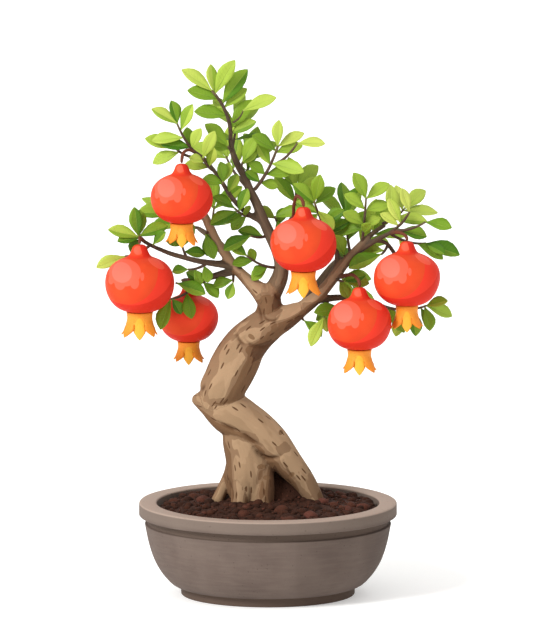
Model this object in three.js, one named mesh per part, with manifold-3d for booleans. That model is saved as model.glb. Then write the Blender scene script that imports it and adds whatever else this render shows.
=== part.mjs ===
// Pomegranate bonsai in a round stoneware bowl.
// Millimetres, +Z up, the front towards -Y. The bowl's axis is x = 0, y = 0 while the pieces are made, and
// the finished group is moved so that the middle of its footprint is the origin.

import * as THREE from "three";
import { mergeVertices } from "three/addons/utils/BufferGeometryUtils.js";
import Module from "manifold-3d";

const wasm = await Module();
wasm.setup();

// ---- driving dimensions ----

const GAP = 0.3; // between pieces that touch
const SOCKET_GAP = 0.4; // round a leg of the tree in the soil, and round a twig
const LEAF_GAP = 0.5; // between a leaf and a fruit

const RIM_RADIUS = 97;
const MOUTH_RADIUS = 83.5;
const POT_HEIGHT = 69.6;
const LIP_HEIGHT = 10;
const NECK_RADIUS = 90.6; // the recess under the lip
const NECK_HEIGHT = 6;
const FOOT_RADIUS = 65.3;
const FOOT_WIDTH = 8.5;
const FOOT_HEIGHT = 6.5;
const FOOT_RECESS = 3.5;
const FLOOR_TOP = 12;
const DRAIN_RADIUS = 6;
const RIM_ROUNDING = 1.5;
const POT_SIDES = 34;

const SOIL_RADIUS = 82;
const SOIL_SIDES = 24;
const WALL_CLEARANCE = 0.7; // more than the gap, for the soil has fewer sides than the bowl
const HEAP_MIDDLE = [4, 12]; // soil heaped up between and behind the legs of the tree
const HEAP_REACH = [50, 33];
const HEAP_SIDES = 14;
const CLOD_COUNT = 20;
const CLOD_SMALLEST = 3.4;
const CLOD_LARGEST = 6.4;
const CLOD_FLATNESS = 0.75;
const CLOD_DEPTH = 1.2; // of its middle under the surface
const CLOD_FREE_SHARE = 0.22; // the share of the mound, round its middle, that has no clods

const LEAF_LENGTH = 27;
const LEAF_WIDTH = 9.8;
const LEAF_THICKNESS = 1;
const TWIG_RADIUS = 1.25;
const TWIG_TIP_RADIUS = 0.8;
const TWIG_SIDES = 4;
const TWIG_STEPS = 3;

// ---- helpers ----

// A stream of numbers from 0 to 1 that is the same on every run.
function randomStream(seed) {
  let state = Math.imul(seed + 1, 2654435761) >>> 0;
  return () => {
    state = (Math.imul(state, 1664525) + 1013904223) >>> 0;
    return state / 4294967296;
  };
}

function vector([x, y, z]) {
  return new THREE.Vector3(x, y, z);
}

// A closed geometry as a solid that can be joined and cut.
function solid(geometry) {
  const bare = geometry.clone();
  bare.deleteAttribute("normal");
  bare.deleteAttribute("uv");
  const merged = mergeVertices(bare, 1e-4);
  const corners = [];
  for (let i = 0; i < merged.index.count; i += 3) {
    const [a, b, c] = [0, 1, 2].map((k) => merged.index.getX(i + k));
    if (a !== b && b !== c && c !== a) {
      corners.push(a, b, c);
    }
  }
  const mesh = new wasm.Mesh({
    numProp: 3,
    vertProperties: new Float32Array(merged.attributes.position.array),
    triVerts: new Uint32Array(corners),
  });
  return new wasm.Manifold(mesh);
}

function geometryOf(body) {
  const { vertProperties, triVerts } = body.getMesh();
  const geometry = new THREE.BufferGeometry();
  geometry.setAttribute("position", new THREE.BufferAttribute(new Float32Array(vertProperties), 3));
  geometry.setIndex(new THREE.BufferAttribute(new Uint32Array(triVerts), 1));
  return geometry;
}

function joined(bodies) {
  return bodies.reduce((all, body) => all.add(body));
}

function largestPiece(body) {
  const pieces = body.decompose();
  return pieces.reduce((best, piece) => (piece.volume() > best.volume() ? piece : best));
}

function indexed(points, triangles) {
  const geometry = new THREE.BufferGeometry();
  geometry.setAttribute("position", new THREE.Float32BufferAttribute(points.flatMap((p) => p.toArray()), 3));
  geometry.setIndex(triangles.flat());
  return geometry;
}

// Closed skin over rings of equal length, with a point in the middle of each end.
function skin(rings) {
  const count = rings[0].length;
  const middle = (ring) => ring.reduce((sum, p) => sum.add(p), new THREE.Vector3()).divideScalar(count);
  const points = [...rings.flat(), middle(rings[0]), middle(rings[rings.length - 1])];
  const [first, last] = [points.length - 2, points.length - 1];
  const triangles = [];
  for (let k = 0; k < count; k += 1) {
    const next = (k + 1) % count;
    for (let i = 0; i < rings.length - 1; i += 1) {
      const [low, high] = [i * count, (i + 1) * count];
      triangles.push([low + k, low + next, high + next], [low + k, high + next, high + k]);
    }
    const top = (rings.length - 1) * count;
    triangles.push([first, next, k], [last, top + k, top + next]);
  }
  return indexed(points, triangles);
}

// A round limb along a smooth line through its stations [x, y, z, radius]. Flutes are shallow ridges along
// it, which wind round it by the twist.
function limb(stations, { sides, spans = 1, swell = 0, flutes = 0, twist = 0 }) {
  const curve = new THREE.CatmullRomCurve3(stations.map(vector), false, "centripetal");
  const steps = (stations.length - 1) * spans;
  const rings = [];
  let across = new THREE.Vector3(0, 1, 0.01);
  for (let i = 0; i <= steps; i += 1) {
    const along = (i / steps) * (stations.length - 1);
    const k = Math.min(Math.floor(along), stations.length - 2);
    const radius = THREE.MathUtils.lerp(stations[k][3], stations[k + 1][3], along - k) + swell;
    const centre = curve.getPoint(i / steps);
    const tangent = curve.getTangent(i / steps);
    across = across.clone().addScaledVector(tangent, -across.dot(tangent)).normalize();
    const other = new THREE.Vector3().crossVectors(tangent, across);
    const ring = [];
    for (let side = 0; side < sides; side += 1) {
      const angle = (side / sides) * 2 * Math.PI;
      const turn = 3 * angle + twist * (i / steps);
      const reach = radius * (1 + flutes * Math.cos(turn));
      const point = centre.clone();
      point.addScaledVector(across, reach * Math.cos(angle));
      point.addScaledVector(other, reach * Math.sin(angle));
      ring.push(point);
    }
    rings.push(ring);
  }
  return skin(rings);
}

function lathe(profile, sides) {
  const shape = new THREE.LatheGeometry(profile.map(([r, z]) => new THREE.Vector2(r, z)), sides);
  return shape.rotateX(Math.PI / 2);
}

// ---- pot ----

const NECK_TOP = POT_HEIGHT - LIP_HEIGHT;
const NECK_FOOT = NECK_TOP - NECK_HEIGHT;
// the inside wall, from the floor up, as [radius, height]
const POT_INSIDE = [
  [62, FLOOR_TOP],
  [71, 17],
  [78.5, 31],
  [82.3, 50],
];
// the outside of the body, from the foot up to the neck
const POT_BODY = [
  [70.6, FOOT_HEIGHT + 1],
  [77.3, 13.5],
  [84.3, 24],
  [89.4, 38],
  [92.7, NECK_FOOT],
];

function makePot() {
  const outline = [
    [DRAIN_RADIUS, FOOT_RECESS],
    [FOOT_RADIUS - FOOT_WIDTH, FOOT_RECESS],
    [FOOT_RADIUS - FOOT_WIDTH, 0],
    [FOOT_RADIUS, 0],
    [FOOT_RADIUS, FOOT_HEIGHT],
    ...POT_BODY,
    [NECK_RADIUS, NECK_FOOT + 0.6],
    [NECK_RADIUS, NECK_TOP],
    [RIM_RADIUS, NECK_TOP],
    [RIM_RADIUS, POT_HEIGHT - RIM_ROUNDING],
    [RIM_RADIUS - RIM_ROUNDING, POT_HEIGHT],
    [MOUTH_RADIUS, POT_HEIGHT],
    ...POT_INSIDE.slice().reverse(),
    [DRAIN_RADIUS, FLOOR_TOP],
    [DRAIN_RADIUS, FOOT_RECESS],
  ];
  return lathe(outline, POT_SIDES);
}

// ---- wood ----
// Each limb is a list of stations: x, y, z and the radius there.

const TRUNK_LIMBS = [
  // right leg, up into the knee
  [[40, -3, 50, 4.2], [37, -4, 66, 6.3], [28, -5, 84, 8.3], [16, -5, 99, 11], [0, -4, 116, 15],
    [-16.5, -4, 129.5, 16], [-31.5, -4, 140, 15.8], [-45, -4, 146, 10.5], [-55.5, -4, 147, 4.5]],
  // knee, up to the fork
  [[-45, -5, 142, 10.5], [-38, -5, 150.5, 15.5], [-31, -4, 163, 17.2], [-23, -1, 178.5, 17.4],
    [-17.5, 1, 188, 16], [-9, 3, 197, 14.3], [1.5, 4, 204.5, 12.6], [12, 4, 208.5, 9.9], [24, 4, 214.5, 6.4]],
  // left leg
  [[-25, -3, 135.5, 8.2], [-20.5, -4, 119, 13.5], [-15.8, -4, 104.5, 15.8], [-13.6, -4, 91, 18],
    [-13.2, -4, 79, 16.6], [-13.8, -4, 68, 14.5], [-14, -4, 50, 11]],
  // the crotch where the boughs part
  [[-4.5, 3, 200, 11.6], [0, 4, 210.5, 9.8], [1.5, 4, 219.5, 8.9], [0, 4, 227, 9]],
];

const ROOTS = [
  [[-24, 2, 103, 5.2], [-28.5, 0, 90, 4.9], [-34.5, -3, 78.5, 4.3], [-39, -5, 68, 4.6], [-43, -6, 54, 3.2]],
  [[-20, -12, 96, 5.6], [-20.5, -17, 82, 5.2], [-22.5, -21, 67, 4.4], [-24, -24, 54, 3.2]],
  [[-8, -10, 97, 6], [-7, -16, 83, 5.2], [-5.5, -20, 68, 4.4], [-5, -23, 54, 3.2]],
  [[-21, 8, 108, 7.5], [-25.5, 17, 89.5, 7.1], [-31, 26, 71, 6], [-34.5, 32, 55, 4.1]],
  [[4, 8, 111, 7.5], [10, 18, 94, 7.5], [14, 27, 75, 6.4], [17, 33, 57, 4.1]],
];

const BOUGHS = [
  // right bough
  [[8, 4, 206, 9], [14.5, 4, 208, 7.6], [24, 4, 214.5, 5.8], [37, 3, 225, 4.7], [48.5, 2, 238.5, 4],
    [61, 0, 255, 3.4], [67.5, -1, 262.5, 2.9], [74, 1, 269.5, 2.1], [81, 5, 274.5, 1.7], [88, 8, 278.7, 1.6]],
  // left bough, ending behind the first fruit
  [[1.5, 4, 219, 7.9], [-4, 4, 227, 7.5], [-10, 4, 232.5, 5.8], [-16, 4, 238, 4.5], [-22.7, 3, 245, 3.8],
    [-30.5, 3, 255.2, 3.5], [-38.6, 4, 267, 3.4], [-45.4, 5, 281.5, 3.2], [-51, 7, 293, 2.2]],
  // leader
  [[0, 4, 221, 7.1], [5, 5, 231, 6.8], [9, 5, 240, 6], [10, 5, 249, 5.2], [7.5, 5, 259, 4.8],
    [2, 5, 270.5, 4.3], [-4, 5, 284, 3.8], [-9, 5, 296.5, 3.4], [-14, 4, 306.5, 3.1],
    [-16.5, 4, 313.5, 2.8], [-22.5, 4, 324.5, 2.5], [-27, 3, 336.5, 2.1], [-28, 3, 345, 1.8]],
];

const BRANCHES = [
  // from the leader up to the left
  [[-1, 5, 277, 2.6], [-6, 5, 282.5, 2.4], [-13.5, 5, 286.5, 2.1], [-21, 3, 293, 1.9], [-28.5, 0, 302.5, 1.8],
    [-34.5, -4, 313, 1.7], [-41, -8, 323, 1.6], [-47, -12, 331, 1.5], [-55, -15, 337.5, 1.5]],
  // low on the left, towards the third fruit
  [[-22.5, 3, 247, 3.6], [-32, 2, 249.3, 3], [-42, 0, 250.8, 2.4], [-52.5, -2, 252.8, 2.1],
    [-63, -4, 255.8, 1.9], [-73, -6, 259, 1.8], [-82.5, -8, 263.2, 1.6], [-89, -9, 266.5, 1.5],
    [-93, -10, 269, 1.5]],
  // lowest on the left, towards the sixth fruit
  [[-24, 5, 245, 3.4], [-34.5, 7, 241.5, 2.9], [-43.5, 9, 238.8, 2.3], [-51, 12, 236.5, 2],
    [-58, 17, 235.5, 1.8], [-65, 21, 234.5, 1.6]],
  // right, outer
  [[62, 0, 256.5, 2.6], [73, -1, 263.5, 2.2], [82.5, -2, 269.5, 1.9], [91, -3, 274, 1.5], [97, -4, 279, 1.3]],
  // right, low
  [[34.5, 4, 222.5, 3.4], [45, 7, 223, 2.8], [55, 9, 223.5, 2.3], [64, 10, 222, 2], [73, 10, 220, 1.7],
    [82, 9, 218, 1.6], [88.5, 8, 216.5, 1.5]],
  // right, turning down behind the fourth fruit
  [[81, -1, 268.5, 1.7], [88, 3, 266, 1.6], [93, 7, 260, 1.6], [98, 10, 250.5, 1.5], [102, 11, 243, 1.5]],
  // off the right bough, up behind the second fruit
  [[46, 3, 236, 3.2], [51, 4, 247, 2.5], [52, 4, 255, 2], [51, 4, 262, 1.7]],
  // behind, left
  [[-27, 5, 250.5, 3], [-34.5, 22, 260.5, 2.6], [-44, 36, 266, 2.2], [-52.5, 46, 270.5, 1.8]],
  // behind, centre
  [[5, 6, 264, 3.4], [12, 24, 271, 2.8], [17, 40, 276.5, 2.3], [21, 52, 281, 1.9]],
  // behind, right
  [[27, 5, 217.5, 4.1], [37.5, 24, 230, 3.4], [49.5, 42, 243, 2.7], [60, 54, 251, 2]],
  // behind, top
  [[-10, 6, 299, 2.6], [-14, 20, 303.5, 2.2], [-18, 31, 307, 1.9], [-22, 40, 310, 1.7]],
];

// ---- fruit ----
// x, y and z of the middle, the widest radius, and the stations of the stalk down to just over the neck

const FRUITS = [
  { at: [-64.5, -26, 303.5], radius: 23.2,
    stalk: [[-55, -15, 337.5, 1.6], [-59, -19, 339.5, 1.4], [-63, -24, 338.5, 1.4]] },
  { at: [26.5, -32, 269.5], radius: 25.1,
    stalk: [[4.5, 3, 265.5, 2], [12, -4, 276, 1.6], [18.5, -12, 287, 1.5], [19.5, -20, 299, 1.4],
      [22, -27, 306, 1.4]] },
  { at: [-96, -28, 239], radius: 26.4,
    stalk: [[-93, -10, 269, 1.6], [-95, -17, 272.5, 1.4], [-96, -24, 273.5, 1.4]] },
  { at: [104, -22, 242], radius: 25.1,
    stalk: [[92, -4, 274.5, 1.8], [97, -12, 276, 1.5], [102, -20, 275.5, 1.4]] },
  { at: [68.5, -31, 209.5], radius: 24.3,
    stalk: [[54, -1, 240.5, 1.9], [60, -10, 243.5, 1.5], [65, -23, 244.5, 1.4]] },
  { at: [-59.5, 12, 207], radius: 22.1,
    stalk: [[-49, 11, 237.5, 1.9], [-55, 11.5, 240, 1.5]] },
];
const NECK_OVER_MIDDLE = 1.14; // the top of the neck over the middle, in radii
const BASE_UNDER_MIDDLE = 0.775; // the flat that the crown sits on
const STALK_DROP = 3; // the stalk's last stretch, straight down
const STALK_RADIUS = 1.4;
const CROWN_TUBE_RADIUS = 0.345; // in radii of the fruit, as the lobes' sizes are
const CROWN_TUBE_LENGTH = 0.36;
const CROWN_WALL = 1.7;
const CROWN_ROOF = 3;
const CROWN_SIDES = 16;
const CROWN_LOBES = 8;
const LOBE_LENGTH = 0.54;
const LOBE_WIDTH = 0.28;
const LOBE_FLARE = 0.14;
const LOBE_CURL = 0.3;
const FRUIT_SIDES = 15;

// the fruit's outline in radii, from the flat base up over the neck
const FRUIT_OUTLINE = [
  [0, -BASE_UNDER_MIDDLE],
  [0.36, -BASE_UNDER_MIDDLE],
  [0.62, -0.66],
  [0.85, -0.44],
  [0.97, -0.18],
  [0.99, 0.12],
  [0.92, 0.37],
  [0.77, 0.57],
  [0.54, 0.72],
  [0.36, 0.8],
  [0.28, 0.9],
  [0.26, 1.04],
  [0.1, NECK_OVER_MIDDLE],
  [0, NECK_OVER_MIDDLE],
];

function stalkOf(fruit) {
  const [x, y, z] = fruit.at;
  const end = z + NECK_OVER_MIDDLE * fruit.radius + GAP;
  return [...fruit.stalk, [x, y, end + STALK_DROP, STALK_RADIUS], [x, y, end, STALK_RADIUS]];
}

function makeFruit(fruit, swell = 0) {
  const outline = FRUIT_OUTLINE.map(([r, z]) => [r * fruit.radius + (r > 0 ? swell : 0), z * fruit.radius]);
  outline[0][1] -= swell;
  outline[1][1] -= swell;
  outline[outline.length - 1][1] += swell;
  outline[outline.length - 2][1] += swell;
  return solid(lathe(outline, FRUIT_SIDES).translate(...fruit.at));
}

// A pointed blade, flat above and keeled below, carried out from a root point sunk in what bears it.
// Each section is [share of the length, share of the width].
const BLADE_SECTIONS = [
  [0.38, 0.8],
  [0.74, 0.9],
];

function blade({ root, along, up, length, width, droop, thickness, swell = 0 }) {
  const side = new THREE.Vector3().crossVectors(up, along).normalize();
  const reach = length + swell;
  const middle = (t) => {
    const onward = root.clone().addScaledVector(along, reach * t);
    return onward.addScaledVector(up, -droop * length * t * t);
  };
  const thick = thickness / 2 + swell;
  const points = [middle(0)];
  for (const [t, share] of BLADE_SECTIONS) {
    const half = (width / 2) * share + swell;
    points.push(
      middle(t).addScaledVector(side, half).addScaledVector(up, thick),
      middle(t).addScaledVector(side, -half).addScaledVector(up, thick),
      middle(t).addScaledVector(up, -thick),
    );
  }
  points.push(middle(1));
  const triangles = [];
  const last = points.length - 1;
  for (let k = 0; k < 3; k += 1) {
    const next = (k + 1) % 3;
    triangles.push([0, 1 + next, 1 + k], [last, last - 3 + k, last - 3 + next]);
    for (let low = 1; low < last - 3; low += 3) {
      triangles.push([low + k, low + next, low + 3 + next], [low + k, low + 3 + next, low + 3 + k]);
    }
  }
  return solid(indexed(points, triangles));
}

// The crown: a short tube under the fruit, open below, whose end is parted into pointed lobes.
function makeCrown(fruit) {
  const [x, y, z] = fruit.at;
  const tube = CROWN_TUBE_RADIUS * fruit.radius;
  const long = CROWN_TUBE_LENGTH * fruit.radius;
  const inside = tube - CROWN_WALL;
  const cup = lathe([
    [0, -CROWN_ROOF],
    [inside - 0.5, -CROWN_ROOF - 0.4],
    [inside - 0.2, 0.2 - long],
    [tube - 0.5, -long],
    [tube - 0.6, -long / 2],
    [tube, 0],
    [0, 0],
  ], CROWN_SIDES);
  const pieces = [solid(cup)];
  for (let lobe = 0; lobe < CROWN_LOBES; lobe += 1) {
    const turn = (lobe / CROWN_LOBES) * 2 * Math.PI - Math.PI / 2;
    const outward = new THREE.Vector3(Math.cos(turn), Math.sin(turn), 0);
    const down = new THREE.Vector3(0, 0, -1);
    const root = outward.clone().multiplyScalar(tube - CROWN_WALL / 2);
    root.z = -long / 2;
    pieces.push(blade({
      root,
      along: down.clone().addScaledVector(outward, LOBE_FLARE).normalize(),
      up: down.clone().multiplyScalar(LOBE_FLARE).sub(outward).normalize(),
      length: LOBE_LENGTH * fruit.radius,
      width: LOBE_WIDTH * fruit.radius,
      droop: LOBE_CURL,
      thickness: LEAF_THICKNESS,
    }));
  }
  return joined(pieces).translate([x, y, z - BASE_UNDER_MIDDLE * fruit.radius - GAP]);
}

// ---- soil ----

// the surface of the mound, as [distance from the bowl's axis, height]
const MOUND_OUTLINE = [
  [SOIL_RADIUS, 65.5],
  [74, 67.5],
  [60, 69.5],
  [40, 71.5],
  [20, 73],
  [0, 74],
];
// the surface of the heap, as [share of its reach, height]
const HEAP_OUTLINE = [
  [1.18, 60],
  [1, 66],
  [0.5, 82.5],
  [0.2, 92],
  [0, 97],
];

// The height of an outline at a distance, along straight lines between its points.
function heightAlong(outline, distance) {
  const k = outline.findIndex(([reach], i) => i > 0 && distance >= reach);
  if (k < 0 || distance > outline[0][0]) {
    return 0;
  }
  const [[outer, low], [inner, high]] = [outline[k - 1], outline[k]];
  return THREE.MathUtils.mapLinear(distance, outer, inner, low, high);
}

function soilHeight(x, y) {
  const heapX = (x - HEAP_MIDDLE[0]) / HEAP_REACH[0];
  const heapY = (y - HEAP_MIDDLE[1]) / HEAP_REACH[1];
  const mound = heightAlong(MOUND_OUTLINE, Math.hypot(x, y));
  return Math.max(mound, heightAlong(HEAP_OUTLINE, Math.hypot(heapX, heapY)));
}

// A mound that fills the bowl and rises to a heap, with clods half sunk in it and a socket for each leg and
// root of the tree.
function makeSoil(sockets) {
  const random = randomStream(7);
  const [[floorRadius, floorHeight], ...wall] = POT_INSIDE;
  const mound = lathe([
    [0, floorHeight + GAP],
    [floorRadius - GAP, floorHeight + GAP],
    ...wall.map(([r, z]) => [r - WALL_CLEARANCE, z]),
    ...MOUND_OUTLINE,
  ], SOIL_SIDES);
  const [[heapFoot, heapBottom]] = HEAP_OUTLINE;
  const heap = lathe([[0, heapBottom - 5], [heapFoot, heapBottom - 5], ...HEAP_OUTLINE], HEAP_SIDES);
  heap.scale(...HEAP_REACH, 1).translate(...HEAP_MIDDLE, 0);
  const clods = [];
  for (let i = 0; i < CLOD_COUNT; i += 1) {
    const size = THREE.MathUtils.lerp(CLOD_SMALLEST, CLOD_LARGEST, random());
    const share = Math.sqrt(THREE.MathUtils.lerp(CLOD_FREE_SHARE, 1, random()));
    const reach = (SOIL_RADIUS - size - 2 * GAP) * share;
    const turn = 2 * Math.PI * random();
    const [x, y] = [reach * Math.cos(turn), reach * Math.sin(turn)];
    const clod = new THREE.IcosahedronGeometry(size, 0);
    clod.rotateX(2 * Math.PI * random());
    clod.rotateY(2 * Math.PI * random());
    clod.scale(1, 1, CLOD_FLATNESS);
    clod.translate(x, y, soilHeight(x, y) - CLOD_DEPTH);
    clods.push(solid(clod));
  }
  return largestPiece(joined([solid(mound), solid(heap), ...clods]).subtract(sockets));
}

// ---- leafy sprays ----
// name: [start on the wood, tip, leaves, bow]. Leaves are a number of pairs, or a list of leaves that point
// their own way, as [share along the shoot, heading, size]. A heading is in degrees clockwise from straight
// up as seen from the front. The bow is how far the middle of the shoot stands off its straight line.

const SHOOTS = {
  top: [[-28, 3, 344], [-42, -3, 382], [[1, -52, 1.05], [0.92, -5, 0.85], [0.92, 30, 1.15], [0.7, 35, 1.2],
    [0.8, -70, 0.92], [0.62, 49, 0.85], [0.45, -80, 0.93], [0.2, 41, 1.03], [0.1, 63, 0.8], [0.6, -52, 0.5]],
    [4, 0, 1]],
  top_right: [[-26.2, 0, 357.5], [-18.7, -4, 367], [[1, 68, 1]], [1, 0, -1]],
  top_back: [[-27, 4, 337.5], [-24, 20, 352], 2],
  left_top: [[-55, -15, 337.5], [-68, -20, 359.5], [[1, -54, 0.86], [1, -14, 0.68], [0.8, 23, 0.85],
    [0.6, -95, 0.9], [0.22, -78, 0.82], [0.2, -7, 0.6], [0.16, 24, 0.65]]],
  left_mid: [[-50, -13, 333], [-73.5, -12, 346], [[0.75, -68, 0.9], [0.6, -111, 0.84]], [-2, 0, -4]],
  inner_left: [[-40.5, -7, 322], [-49, -17, 333], [[1, 24, 0.88], [0.45, 27, 0.68], [0.4, -81, 0.7],
    [0.8, -57, 0.5]]],
  inner_low: [[-28.5, 0, 302.5], [-34, -10, 314], [[1, -5, 0.6], [0.95, 15, 0.6], [0.9, -74, 0.6],
    [0.3, 30, 0.6]]],
  inner_mid: [[-13, 5, 285.5], [-25, -4, 293], [[1, -59, 0.7], [0.75, 21, 0.7], [0.3, -9, 0.45],
    [0.8, -113, 0.85], [0.45, -107, 0.6], [0.25, -133, 0.6]]],
  leader_left: [[-26.5, 3, 335], [-30, -3, 340], [[1, -44, 0.9], [0.6, -80, 0.5]]],
  leader_right: [[-21, 4, 322], [-19, -3, 328], [[1, 27, 0.8], [0.7, 49, 0.6]]],
  right_sub: [[-10, 4, 306], [7.5, -2, 340], [[1, 3, 0.75], [0.98, 61, 0.86], [0.87, 73, 0.78],
    [0.65, 87, 1], [0.4, 86, 0.78], [0.2, 103, 0.52], [0.9, -52, 0.85], [0.62, -33, 0.67],
    [0.4, -53, 0.56], [0.2, -54, 0.52]], [1, 0, -2]],
  right_sub_side: [[6, 2, 326], [22, -8, 343], [[1, 88, 0.78]]],
  crown_back: [[-19, 4, 315.5], [-12, 24, 327], 2],
  over_two: [[51, 4, 261.5], [34.5, -6, 299], [[1, 11, 0.85], [0.95, 53, 0.73], [0.95, -49, 0.85],
    [0.8, -65, 0.73], [0.85, 140, 0.7], [0.8, -135, 0.5], [0.6, 54, 0.75], [0.42, 59, 0.72]]],
  over_two_left: [[12, 24, 271], [5, 14, 284], [[1, 72, 0.8], [0.8, 150, 0.6], [0.9, -60, 0.6],
    [0.6, 20, 0.5]]],
  upright: [[70.5, -1, 266.5], [73.5, -6, 301], [[1, -25, 0.86], [1, 59, 0.81], [0.8, -50, 0.73],
    [0.78, 78, 0.75], [0.5, -56, 0.7], [0.45, 61, 0.55], [0.3, 18, 0.45], [0.4, -97, 1.03],
    [0.14, -31, 0.65]]],
  upright_back: [[62, 0, 257], [58, 26, 284], 2],
  tip_up: [[97, -4, 279], [106, -8, 291], [[1, -16, 0.72], [0.3, -25, 0.8], [0.1, -54, 0.62],
    [1, 40, 0.73], [0.9, 72, 0.82]]],
  tip_right: [[94, -3.5, 276.5], [118, -10, 283.5], [[1, 98, 0.76], [0.2, 102, 0.8]]],
  tip_low: [[91, -3, 274], [118.5, 6, 265], [[0.75, 117, 0.85], [0.95, 110, 1.1], [1, 118, 0.66],
    [0.25, 147, 0.56]]],
  tip_mid: [[86, 7, 280], [102, 18, 289], 2],
  right_in: [[90, 5, 264], [85, -3, 258], [[1, -108, 1], [0.5, -85, 0.85]]],
  right_down: [[58, 9.3, 222], [56, 4, 215], [[1, -95, 0.85], [0.9, -112, 0.85]]],
  bough_side: [[60, 2, 253], [57, 5, 256], [[1, -20, 0.7], [0.5, -50, 0.6]]],
  over_five: [[50, 0, 240], [57, -6, 238], [[0.5, 150, 0.56], [1, 95, 0.75], [0.8, 75, 0.7]]],
  low_right: [[88, 8, 216.5], [119, 4, 218], [[1, 72, 0.64], [1, 115, 0.86], [0.95, 166, 0.7],
    [0.85, 153, 0.7], [0.65, 170, 0.75], [0.5, -161, 0.85], [0.05, 148, 0.85]]],
  under: [[45, 7, 222.5], [42, -1, 210], [[1, -157, 0.9], [0.8, 170, 0.5]]],
  under_fork: [[24, 4, 212], [27, 2, 207], [[1, 128, 0.67]]],
  far_left: [[-92, -10, 268.5], [-97, -13, 273], [[1, -9, 0.85], [1, 3, 0.75], [0.9, -74, 0.9],
    [1, 72, 0.87], [0.8, -92, 0.64], [0.7, -145, 0.5]]],
  far_left_low: [[-88, -9, 266], [-107, -6, 257], [[1, -112, 0.87], [0.6, -130, 0.6]]],
  left_up: [[-84, -8, 264], [-86, -13, 267], [[1, 41, 0.55]]],
  left_up_back: [[-60.5, -3.5, 255], [-64.5, 2, 264], [[1, -75, 0.45], [0.9, 30, 0.7], [0.6, 100, 0.6]]],
  left_hang: [[-43, 4.5, 276], [-47, 0, 273], [[1, 158, 0.75], [0.6, 178, 0.7]]],
  left_down: [[-45, -1, 251.3], [-60, -6, 247], [[1, -100, 0.45], [0.7, 156, 0.5], [0.2, 165, 0.5]]],
  six_over: [[-44, 8.5, 237.5], [-69, -8, 237], [[1, 113, 0.87], [0.2, -60, 0.55], [0.2, 133, 0.62]]],
  six_left: [[-51, 11, 235], [-73, -9, 225], [[1, -157, 0.9], [0.95, 153, 0.5], [0.45, 160, 0.8]],
    [0, -3, -2]],
  six_right: [[-26, 5, 243], [-26, 0, 236.5], [[1, -158, 0.5], [0.7, -108, 0.6]]],
  heart_mid: [[-1, 4, 271], [-13, -3, 272], [[1, -113, 0.85], [0.2, -77, 0.74]]],
  heart_low: [[5, 3, 247], [-16, -3, 257], [[1, -57, 0.56], [0.7, -21, 0.4], [0.25, -110, 0.47],
    [0.75, -98, 0.6], [0.25, -129, 0.58]]],
  back_left: [[-52, 46, 270.5], [-73.5, 58, 280.5], 2],
  back_left_up: [[-44, 36, 266], [-40.5, 52, 286], 2],
  back_mid: [[21, 52, 281], [21, 60, 300], 2],
  back_right: [[60, 54, 251], [81, 58, 265.5], 2],
  back_right_low: [[49.5, 42, 243], [63, 54, 226.5], 2],
  back_top: [[-22, 40, 310], [-31.5, 52, 324], 2],
};
const SAG = 0.09; // how far a shoot bows under its own weight, as a share of its length
const TRIES = 40;
const FIRST_PAIR = 0.93; // along the shoot
const PAIR_RUN = 0.74; // of the shoot, for all its pairs
const BACKWARD = 0.55; // a shoot that points back more than this shows its leaves to the back
const LEAF_TURN = 0.66; // radians from the shoot, for the pair next to the tip
const LEAF_TURN_STEP = 0.13; // more for each pair further down
const ROOT_SHARE = 0.14; // of a leaf's length, which may touch its twig and sisters
const LEAF_ROAM = 0.22;
const LEAF_ROLL = 0.4;
const LEAF_DROOP = 0.11;
const HEADED_DROOP = 0.07; // for a leaf that has its own heading
const HEADED_ROAM = 0.05;
const HEADED_LIFT = 0.14; // radians towards the front and away from it, by turns

function shootPoint([start, tip, , bow], t) {
  const from = vector(start);
  const to = vector(tip);
  const middle = bow ? vector(bow) : new THREE.Vector3(0, 0, -SAG * from.distanceTo(to));
  return from.lerp(to, t).addScaledVector(middle, 4 * t * (1 - t));
}

function shootTangent(shoot, t) {
  return shootPoint(shoot, t + 0.01).sub(shootPoint(shoot, t - 0.01)).normalize();
}

function makeTwig(shoot, swell = 0) {
  const rings = [];
  for (let i = 0; i <= TWIG_STEPS; i += 1) {
    const t = i / TWIG_STEPS;
    const centre = shootPoint(shoot, t);
    const tangent = shootTangent(shoot, t);
    const across = new THREE.Vector3(0.3, 1, 0.2).cross(tangent).normalize();
    const other = new THREE.Vector3().crossVectors(tangent, across);
    const radius = THREE.MathUtils.lerp(TWIG_RADIUS, TWIG_TIP_RADIUS, t) + swell;
    const ring = [];
    for (let side = 0; side < TWIG_SIDES; side += 1) {
      const angle = (side / TWIG_SIDES) * 2 * Math.PI;
      const point = centre.clone();
      point.addScaledVector(across, radius * Math.cos(angle));
      point.addScaledVector(other, radius * Math.sin(angle));
      ring.push(point);
    }
    rings.push(ring);
  }
  return solid(skin(rings));
}

// Where the leaves of a shoot sit: as listed, or one at the tip and then pairs back towards the wood.
function leafSeats(shoot) {
  const leaves = shoot[2];
  if (Array.isArray(leaves)) {
    return leaves.map(([share, heading, size], i) => {
      const turn = i % 2 ? -1 : 1;
      return { t: Math.min(share, 0.985), heading, size, turn };
    });
  }
  const seats = [{ t: 0.985, hand: 0, pair: 0 }];
  for (let pair = 0; pair < leaves; pair += 1) {
    const t = FIRST_PAIR - (pair * PAIR_RUN) / Math.max(leaves - 0.4, 1);
    seats.push({ t, hand: -1, pair }, { t, hand: 1, pair });
  }
  return seats;
}

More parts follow.
